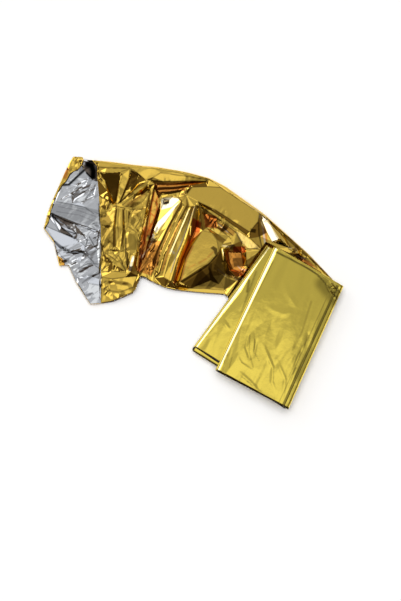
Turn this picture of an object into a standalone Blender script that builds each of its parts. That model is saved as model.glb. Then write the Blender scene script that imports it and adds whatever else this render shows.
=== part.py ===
"""Emergency foil blanket, part opened: a strip folded in two plies lengthwise, its right-hand
end still folded back and forth into a flat packet, its left-hand end open on the lining side.

Run with: blender --background --python part.py
Metres, +Z up. The blanket lies on Z = 0, with the middle of its bounding box at X = Y = 0.

The plan tables give places on a drawing whose x runs right and whose y runs towards the reader.
One plan unit is UNIT_ACROSS wide and UNIT_DEEP deep. Heights and thicknesses are in metres.
"""

import math
from typing import NamedTuple

import bmesh
import bpy
import numpy as np

MM = 0.001

# Driving sizes of the real article.
STRIP_WIDTH = 131 * MM  # the 2.1 m side of the sheet, folded in sixteen
THICKNESS = 1.0 * MM  # one ply of the solid: a bundle of films with the air between them
LAYER_PITCH = 1.5 * MM  # from one ply to the next where they are pressed flat
PLATEAU = 9.5 * MM  # height of the upper ply where it has no fold
EDGE_ROUND = 5.0 * MM  # how far the rounding of the long folded edge reaches inwards
OPEN_EDGE_FALL = 9.0 * MM  # the upper ply comes down over this distance at the open long edge
OPEN_EDGE_HEIGHT = 3.4 * MM  # the upper ply's height there
PRESSED_MARGIN = 13.0 * MM  # the packet presses the strip flat, and this far round itself
MOUTH_HEIGHT = 5.2 * MM  # the upper ply's height at the cut left-hand end
MOUTH_RISE = 12.0 * MM  # and how far from that end it reaches its full height

# The plan's scale: the packet's long side measures this many plan units.
PLAN_STRIP_WIDTH = 139.5
UNIT_ACROSS = STRIP_WIDTH / PLAN_STRIP_WIDTH
UNIT_DEEP = 1.035 * UNIT_ACROSS
PLAN_CENTRE_X = 192.5
PLAN_CENTRE_Y = 281.15


class Line(NamedTuple):
    """A straight line across the strip, from its folded long edge to its open long edge."""

    name: str
    top_x: float
    top_y: float
    low_x: float
    low_y: float


class Fold(NamedTuple):
    """A tent-shaped fold along a straight ridge (or, with a negative rise, along a valley).

    rise is its height in millimetres. left and right are how far its slopes reach from the
    ridge in plan units, seen along it from start to end. The fold is full at peak, a share of
    its length, and blunt is the share of rise and reach that is left at its two ends.
    """

    name: str
    x0: float
    y0: float
    x1: float
    y1: float
    rise: float
    left: float
    right: float
    peak: float
    blunt: float


class EdgePoint(NamedTuple):
    """A point of a ply's left-hand end, at a share of the strip's width from its folded edge."""

    share: float
    x: float
    y: float


# The strip, from the open end to the fold that starts the packet.
STRIP_LINES = [
    Line("mouth", 112, 161, 112, 302.5),
    Line("elbow", 132, 164, 134.5, 293),
    Line("notch_west", 142, 165, 137.8, 284.5),
    Line("notch", 157, 166.5, 140.5, 276),
    Line("notch_east", 165, 168, 151, 282),
    Line("fan_west", 178, 170, 165.5, 288.5),
    Line("fan_east", 192, 173, 178, 291),
    Line("shoulder", 210, 177.4, 203, 293.5),
    Line("turn", 225.5, 185.4, 226, 295),
    Line("under_left_leaf", 264.3, 213.6, 240, 322),
    Line("under_packet", 308.7, 253.8, 262, 365),
    Line("first_fold", 340, 287, 281, 406),
]

# The packet: each panel's two ends, in the order in which the strip runs through them.
PACKET_PANELS = [
    (Line("a_right", 340, 287, 281, 406), Line("a_left", 269.5, 249, 193.5, 352)),
    (Line("b_left", 269.5, 249, 196, 348.6), Line("b_right", 341, 288, 284, 408)),
    (Line("c_right", 341, 288, 284, 408), Line("c_left", 276.4, 249.3, 217, 373)),
    (Line("d_left", 275.6, 251.0, 217.3, 372.4), Line("d_right", 338, 290, 282, 407)),
]

# Where the packet lies, as a convex outline that runs clockwise on the plan.
PACKET_OUTLINE = [(267, 245), (346, 287), (287, 412), (213, 374), (190, 352)]

UPPER_END = [
    EdgePoint(0.00, 70, 153.6),
    EdgePoint(0.05, 77, 161),
    EdgePoint(0.09, 90, 170),
    EdgePoint(0.13, 95.7, 178),
    EdgePoint(0.50, 99.5, 232),
    EdgePoint(1.00, 101, 304),
]
LOWER_END = [
    EdgePoint(0.00, 70, 153.6),
    EdgePoint(0.52, 41.5, 228),
    EdgePoint(0.60, 52.3, 242.5),
    EdgePoint(0.74, 58.3, 266),
    EdgePoint(0.78, 67.5, 265.5),
    EdgePoint(0.86, 75.7, 283),
    EdgePoint(0.97, 90, 304.5),
    EdgePoint(1.00, 100, 304),
]

UPPER_FOLDS = [
    Fold("band_west", 92, 167, 130, 168, 3.5, 9, 20, 0.6, 0.8),
    Fold("band_dip", 130, 168, 145, 178, 3.0, 7, 8, 0.3, 0.8),
    Fold("band_middle", 145, 178, 160, 171, 3.0, 7, 8, 0.8, 0.7),
    Fold("band_east", 160, 171, 211, 178, 4.0, 7, 10, 0.1, 0.3),
    Fold("hollow_west", 97, 207, 136, 201, -4.5, 20, 9, 0.4, 0.5),
    Fold("blade_tall", 115.5, 206, 129, 167, 4.5, 6.5, 6.5, 0.6, 0.3),
    Fold("blade_long", 118, 206, 148, 183, 4.0, 6.5, 6.5, 0.5, 0.3),
    Fold("pleat_west", 115, 212, 114.5, 250, 4.0, 7, 7, 0.4, 0.3),
    Fold("bulge", 130.5, 226, 131.5, 270, 4.0, 8, 7, 0.5, 0.5),
    Fold("sill", 103, 274, 138, 274, 2.5, 7, 8, 0.5, 0.5),
    Fold("long_ridge", 154, 180, 141.5, 260, 4.5, 6.5, 11, 0.4, 0.6),
    Fold("deep_valley", 161, 190, 151.5, 252, -5.0, 8, 7, 0.4, 0.5),
    Fold("white_slope", 181, 199, 158, 240, 4.0, 8, 11, 0.5, 0.5),
    Fold("red_valley", 158, 187, 207, 183.5, -4.0, 6.5, 7, 0.3, 0.5),
    Fold("panel_edge", 197, 200.5, 249, 232, 3.0, 7, 7, 0.5, 0.7),
    Fold("fan_west", 184, 208, 161, 278, 3.5, 6.5, 6.5, 0.5, 0.5),
    Fold("fan_east", 196, 208, 172.5, 284, 3.5, 6.5, 6.5, 0.5, 0.5),
    Fold("red_fold", 204, 212, 182, 282, -4.5, 7, 6.5, 0.35, 0.5),
    Fold("triangle_edge", 184, 281, 218, 256, 2.0, 6.5, 6.5, 0.7, 0.4),
    Fold("dark_slope", 177, 292, 236, 293, -5.5, 46, 9, 1.0, 0.25),
    Fold("crumple_valley", 208, 214, 238, 237, -4.5, 7, 8, 0.5, 0.5),
    Fold("yellow_slope", 240, 231, 263, 254, 3.5, 7, 10, 0.6, 0.5),
    Fold("pocket", 234, 251, 239, 275, -5.0, 9, 9, 0.5, 0.6),
    Fold("white_blade", 263, 215, 277, 241, 3.5, 8, 7, 0.4, 0.5),
]
LOWER_FOLDS = [
    Fold("lining_pleat", 52, 206, 99, 219, 2.0, 7, 8, 0.4, 0.5),
    Fold("lining_facet", 46, 232, 84, 255, 2.4, 10, 7, 0.4, 0.5),
    Fold("lining_peak", 72, 178, 90, 194, 2.2, 10, 9, 0.5, 0.4),
    Fold("lining_tail", 82, 264, 97, 296, 2.0, 9, 9, 0.5, 0.4),
]
LOWER_FOLD_LIMIT_X = 102  # the lining's folds end here, under the upper ply's cut edge
LOWER_FOLD_FADE = 12

# The grid's steps.
END_STEPS = 8
STRIP_STEP = 3.8 * MM
HIDDEN_STEP = 9.0 * MM
UPPER_ROWS = 29
LOWER_ROWS = 11
ROUND_ROWS = 3
PANEL_STEPS = 3
BEND_STEPS = 5
SNAP_REACH = 1.2 * MM
FLAT_ANGLE = math.radians(0.8)
TINY = 1e-6

GOLD = (0.86, 0.60, 0.12)
ROUGHNESS = 0.12


def plan(x, y):
    """Plan coordinates as metres in the part's frame, as an array whose last axis is (X, Y)."""
    across = (np.asarray(x, float) - PLAN_CENTRE_X) * UNIT_ACROSS
    deep = (PLAN_CENTRE_Y - np.asarray(y, float)) * UNIT_DEEP
    return np.stack(np.broadcast_arrays(across, deep), axis=-1)


def line_ends(line):
    """The two ends of a Line, in metres."""
    return plan(line.top_x, line.top_y), plan(line.low_x, line.low_y)


def tent(points, fold):
    """The rise of one Fold at each point: full on its ridge, falling straight to nothing at its
    reach on either side, and falling the same way round its two ends."""
    start, end = plan(fold.x0, fold.y0), plan(fold.x1, fold.y1)
    length = np.linalg.norm(end - start)
    ahead = (end - start) / length
    offset = points - start
    along = offset @ ahead
    side = offset @ np.array([-ahead[1], ahead[0]])
    share = np.clip(along / length, 0, 1)
    rising = share / fold.peak
    falling = (1 - share) / max(1 - fold.peak, TINY)
    size = fold.blunt + (1 - fold.blunt) * np.minimum(1, np.minimum(rising, falling))
    reach = np.where(side > 0, fold.left, fold.right) * UNIT_ACROSS * size
    past = np.maximum(0, np.maximum(-along, along - length))
    return fold.rise * MM * size * np.maximum(0, 1 - np.hypot(side, past) / reach)


def relief(points, folds):
    """The highest of the ridges less the deepest of the valleys at each point."""
    rises = [tent(points, fold) for fold in folds]
    ridges = [rise for rise, fold in zip(rises, folds) if fold.rise > 0]
    valleys = [rise for rise, fold in zip(rises, folds) if fold.rise < 0]
    highest = np.max(ridges, axis=0)
    return highest + np.min(valleys, axis=0) if valleys else highest


def beyond_packet(points):
    """How far each point lies outside the packet's outline, and nothing inside it."""
    corners = np.array([plan(x, y) for x, y in PACKET_OUTLINE])
    sides = np.roll(corners, -1, axis=0) - corners
    outward = np.stack([-sides[:, 1], sides[:, 0]], axis=1)
    outward /= np.linalg.norm(outward, axis=1)[:, None]
    far = np.max([(points - c) @ n for c, n in zip(corners, outward)], axis=0)
    return np.maximum(0, far)


def eased(share):
    """0 to 1 as share goes from 0 to 1, level at both ends."""
    share = np.clip(share, 0, 1)
    return share * share * (3 - 2 * share)


def strip_columns():
    """The strip's cross lines as (tops, lows): the plan's lines with finer ones between them."""
    ends = [line_ends(line) for line in STRIP_LINES]
    tops, lows = [ends[0][0]], [ends[0][1]]
    for (top_0, low_0), (top_1, low_1), line in zip(ends, ends[1:], STRIP_LINES[1:]):
        middle = np.linalg.norm((top_1 + low_1 - top_0 - low_0) / 2)
        hidden = line.name in ("under_packet", "first_fold")
        steps = max(1, round(middle / (HIDDEN_STEP if hidden else STRIP_STEP)))
        for share in np.arange(1, steps + 1) / steps:
            tops.append(top_0 + (top_1 - top_0) * share)
            lows.append(low_0 + (low_1 - low_0) * share)
    return np.array(tops), np.array(lows)


def end_curve(rows, share):
    """The place of a ply's left-hand end at each share of the width."""
    xs = np.interp(share, [row.share for row in rows], [row.x for row in rows])
    ys = np.interp(share, [row.share for row in rows], [row.y for row in rows])
    return plan(xs, ys)


def cross_section():
    """One entry for each row of the grid, from the upper ply's open edge round to the lower's:
    which ply (+1 or -1), the angle round the folded edge, and the share of the flat beyond it."""
    upper = np.linspace(1, 0, UPPER_ROWS)
    lower = np.linspace(0, 1, LOWER_ROWS)
    turn = np.radians(np.linspace(90, 0, ROUND_ROWS + 1)[1:])
    side = np.concatenate([np.ones(UPPER_ROWS + ROUND_ROWS), -np.ones(ROUND_ROWS - 1 + LOWER_ROWS)])
    angle = np.concatenate(
        [np.full(UPPER_ROWS, math.pi / 2), turn, turn[-2::-1], np.full(LOWER_ROWS, math.pi / 2)]
    )
    flat = np.concatenate([upper, np.zeros(2 * ROUND_ROWS - 1), lower])
    return side, angle, flat


def snapped(points, folds):
    """The points again, with those that lie almost on a fold's ridge moved onto it, so that the
    ridge is an edge of the mesh. Each point moves once at most."""
    moved = np.zeros(points.shape[:-1], bool)
    points = points.copy()
    for fold in folds:
        start, end = plan(fold.x0, fold.y0), plan(fold.x1, fold.y1)
        length = np.linalg.norm(end - start)
        ahead = (end - start) / length
        normal = np.array([-ahead[1], ahead[0]])
        offset = points - start
        along, side = offset @ ahead, offset @ normal
        near = (np.abs(side) < SNAP_REACH) & (along > 0) & (along < length) & ~moved
        points[near] -= side[near][:, None] * normal
        moved |= near
    return points


def strip_grid():
    """The strip as a grid of points: a column for each cross line, and a row for each entry of
    cross_section. Its plies part by the relief, and close in a half ellipse at the folded edge."""
    side, angle, flat = cross_section()
    tops, lows = strip_columns()
    width = np.linalg.norm(lows - tops, axis=1)
    first_run = np.linspace(0, 1, END_STEPS + 1)[:-1]
    tops_all = np.concatenate([np.repeat(tops[:1], END_STEPS, axis=0), tops])
    lows_all = np.concatenate([np.repeat(lows[:1], END_STEPS, axis=0), lows])
    width_all = np.concatenate([np.full(END_STEPS, width[0]), width])
    loose = eased(beyond_packet(tops_all) / PRESSED_MARGIN)
    rounding = LAYER_PITCH / 2 + (EDGE_ROUND - LAYER_PITCH / 2) * loose
    across = rounding[:, None] * (1 - np.cos(angle)) + (width_all - rounding)[:, None] * flat
    share = across / width_all[:, None]
    points = tops_all[:, None] + (lows_all - tops_all)[:, None] * share[..., None]
    upper = side > 0
    for ply, rows in ((upper, UPPER_END), (~upper, LOWER_END)):
        ends = end_curve(rows, share[:END_STEPS, ply])
        run = first_run[:, None, None]
        points[:END_STEPS, ply] = ends + (points[:END_STEPS, ply] - ends) * run
    interior = np.zeros(points.shape[:-1], bool)
    interior[1:-1, 1 : UPPER_ROWS - 1] = True
    points[interior] = snapped(points[interior], UPPER_FOLDS)

    from_open_edge = np.clip((width_all[:, None] - across) / OPEN_EDGE_FALL, 0, 1)
    from_mouth = points[..., 0] - end_curve(UPPER_END, share)[..., 0]
    top = PLATEAU + relief(points, UPPER_FOLDS)
    for base, rise in (
        (OPEN_EDGE_HEIGHT, np.sin(from_open_edge * math.pi / 2)),
        (MOUTH_HEIGHT, eased(from_mouth / MOUTH_RISE)),
        (LAYER_PITCH + THICKNESS / 2, eased(beyond_packet(points) / PRESSED_MARGIN)),
    ):
        top = base + (top - base) * rise
    limit = plan(LOWER_FOLD_LIMIT_X, 0)[0]
    fade = np.clip((limit - points[..., 0]) / (LOWER_FOLD_FADE * UNIT_ACROSS), 0, 1)
    bottom = THICKNESS / 2 + relief(points, LOWER_FOLDS) * fade
    middle, half = (top + bottom) / 2, (top - bottom) / 2
    height = middle + side * half * np.sin(angle)
    return np.concatenate([points, height[..., None]], axis=-1)


def flat_column(top, low, level, normal):
    """One column of the packet: the two plies half a LAYER_PITCH to either side of the line from
    top to low at this level, along normal, closed in a half turn at top."""
    side, angle, flat = cross_section()
    ply = LAYER_PITCH / 2
    width = np.linalg.norm(low - top)
    across = ply * (1 - np.cos(angle)) + (width - ply) * flat
    places = np.append(top, level) + np.append(low - top, 0) * (across / width)[:, None]
    return places + np.outer(side * np.sin(angle) * ply, normal)


def packet_grid():
    """The packet as more columns of the same grid: flat panels, with a half turn between each
    panel and the next, both plies keeping LAYER_PITCH to their neighbours all the way round."""
    columns = []
    turn_radius = LAYER_PITCH
    level = (THICKNESS + LAYER_PITCH) / 2
    upward = 1
    before = STRIP_LINES[-1]
    for panel_start, panel_end in PACKET_PANELS:
        top_0, low_0 = line_ends(before)
        top_1, low_1 = line_ends(panel_start)
        far_top, far_low = line_ends(panel_end)
        outward = (top_1 + low_1 - far_top - far_low) / 2
        edge = low_1 - top_1
        square = np.array([-edge[1], edge[0]]) / np.linalg.norm(edge)
        square *= math.copysign(1, square @ outward)
        for turn in np.radians(np.linspace(-90, 90, BEND_STEPS + 2)[1:-1]):
            done = (1 + math.sin(turn)) / 2
            bulge = square * turn_radius * math.cos(turn)
            top = top_0 + (top_1 - top_0) * done + bulge
            low = low_0 + (low_1 - low_0) * done + bulge
            normal = -upward * np.append(square * math.cos(turn), math.sin(turn))
            columns.append(flat_column(top, low, level + 2 * turn_radius * done, normal))
        level += 2 * turn_radius
        upward = -upward
        for share in np.linspace(0, 1, PANEL_STEPS + 1):
            top = top_1 + (far_top - top_1) * share
            low = low_1 + (far_low - low_1) * share
            columns.append(flat_column(top, low, level, np.array([0, 0, upward])))
        before = panel_end
    return np.array(columns)


def grid_mesh(name, points):
    """A mesh of quads over a grid of points."""
    columns, rows = points.shape[:2]
    index = np.arange(columns * rows).reshape(columns, rows)
    quads = np.stack([index[:-1, :-1], index[1:, :-1], index[1:, 1:], index[:-1, 1:]], axis=-1)
    mesh = bpy.data.meshes.new(name)
    mesh.from_pydata(points.reshape(-1, 3).tolist(), [], quads.reshape(-1, 4).tolist())
    return mesh


def foil_material():
    material = bpy.data.materials.new("gold_foil")
    material.use_nodes = True
    shader = material.node_tree.nodes["Principled BSDF"]
    shader.inputs["Base Color"].default_value = (*GOLD, 1)
    shader.inputs["Metallic"].default_value = 1
    shader.inputs["Roughness"].default_value = ROUGHNESS
    return material


def build():
    for obj in list(bpy.data.objects):
        bpy.data.objects.remove(obj, do_unlink=True)
    sheet = np.concatenate([strip_grid(), packet_grid()])
    mesh = grid_mesh("foil_blanket", sheet)
    mesh.materials.append(foil_material())
    blanket = bpy.data.objects.new("foil_blanket", mesh)
    bpy.context.scene.collection.objects.link(blanket)

    ply = blanket.modifiers.new("ply", "SOLIDIFY")
    ply.thickness = THICKNESS
    ply.offset = 0
    flats = blanket.modifiers.new("flats", "DECIMATE")
    flats.decimate_type = "DISSOLVE"
    flats.angle_limit = FLAT_ANGLE
    return blanket


build()
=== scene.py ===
"""Looks of the emergency foil blanket: crumpled gold and silver film, part opened from its packet.

Plan places are on a drawing whose x runs right and whose y runs towards the reader; plan() turns
them into metres. Heights are in millimetres.
"""

import math
from typing import NamedTuple

import bpy
import mathutils
import numpy as np
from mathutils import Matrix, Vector


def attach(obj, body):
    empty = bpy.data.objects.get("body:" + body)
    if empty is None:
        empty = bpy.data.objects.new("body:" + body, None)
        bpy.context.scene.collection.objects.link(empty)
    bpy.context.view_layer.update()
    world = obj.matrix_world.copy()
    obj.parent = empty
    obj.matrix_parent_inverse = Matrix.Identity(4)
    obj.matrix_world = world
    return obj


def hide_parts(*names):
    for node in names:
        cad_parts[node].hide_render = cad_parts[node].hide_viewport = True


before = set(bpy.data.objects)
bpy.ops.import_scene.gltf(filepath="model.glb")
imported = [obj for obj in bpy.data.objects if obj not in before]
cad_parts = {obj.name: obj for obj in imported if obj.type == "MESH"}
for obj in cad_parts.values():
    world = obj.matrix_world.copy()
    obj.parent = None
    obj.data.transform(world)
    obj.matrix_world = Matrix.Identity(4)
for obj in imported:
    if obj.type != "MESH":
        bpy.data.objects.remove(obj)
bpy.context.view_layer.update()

# ------------------------------------------------------------------------------------------------
# The upper ply. The blanket is one rectangle of metallised polyester film, folded lengthwise into a
# strip. The strip has been pulled open here, so its upper ply is a gold sleeve, closed along its far
# edge by the fold. Each main crease has its place, and random crumples lie between them.
# ------------------------------------------------------------------------------------------------

MM = 0.001
STRIP_WIDTH = 131 * MM  # a 2.1 m blanket folded in sixteen
STRIP_UNITS = 139.5  # the same width on the drawing
UNIT_ACROSS = STRIP_WIDTH / STRIP_UNITS
CAMERA_HEIGHT = math.radians(75)  # how far above the floor the drawing is seen from
FORESHORTENING = 1.035  # one over the sine of that angle
UNIT_DEEP = FORESHORTENING * UNIT_ACROSS
PLAN_CENTRE = (192.5, 281.15)  # the frame's origin on the drawing
VIEW_LEAN = MM / math.tan(CAMERA_HEIGHT) / UNIT_DEEP  # plan units for each millimetre of height


class Line(NamedTuple):
    """A straight line across the strip, from its folded long edge to its open long edge."""

    name: str
    top_x: float
    top_y: float
    low_x: float
    low_y: float


class Crease(NamedTuple):
    """A crease through some places of a ply, each (x, y, height in millimetres). The plan places
    are where each point shows from the front at 75 degrees, so a high one lies a little nearer.
    line is how sharp it is, from 0 to 1: a sharp one has a dark line painted along it, painted shade
    with some scuffing."""

    name: str
    places: list
    line: float = 1.0


class Mark(NamedTuple):
    """A streak along a path as it shows from the front, so many millimetres to either side, and
    how strong it is: a share of a colour, or a rise in millimetres. A mark without reach fills
    the outline that its places draw."""

    name: str
    places: list
    reach: float
    strength: float


class EdgePoint(NamedTuple):
    """A point of a ply's left-hand end, at a share of the strip's width from its folded edge."""

    share: float
    x: float
    y: float


class Spot(NamedTuple):
    """How crumpled the film is round a place: a share of the full crumple."""

    name: str
    x: float
    y: float
    reach_x: float
    reach_y: float
    share: float


# The strip's outline, as lines across it from the sleeve's mouth to the packet's first fold.
STRIP_LINES = [
    Line("mouth", 112, 161, 112, 302.5),
    Line("elbow", 132, 164, 134.5, 293),
    Line("notch_west", 142, 165, 137.8, 284.5),
    Line("notch", 157, 166.5, 140.5, 276),
    Line("notch_east", 165, 168, 151, 282),
    Line("fan_west", 178, 170, 165.5, 288.5),
    Line("fan_east", 192, 173, 178, 291),
    Line("shoulder", 210, 177.4, 203, 293.5),
    Line("turn", 225.5, 185.4, 226, 295),
    Line("under_left_leaf", 264.3, 213.6, 240, 322),
    Line("under_packet", 308.7, 253.8, 262, 365),
    Line("first_fold", 340, 287, 281, 406),
]
# The packet's outline. The sleeve is pressed flat inside it.
PACKET_OUTLINE = [(267, 245), (346, 287), (287, 412), (213, 374), (190, 352)]
# The cut end of the sleeve, left of its mouth.
UPPER_END = [
    EdgePoint(0.00, 84, 158.6),
    EdgePoint(0.02, 90, 160),
    EdgePoint(0.06, 94.5, 166),
    EdgePoint(0.12, 95.2, 177),
    EdgePoint(0.25, 97, 194),
    EdgePoint(0.50, 99.5, 232),
    EdgePoint(1.00, 101, 304),
]

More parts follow.
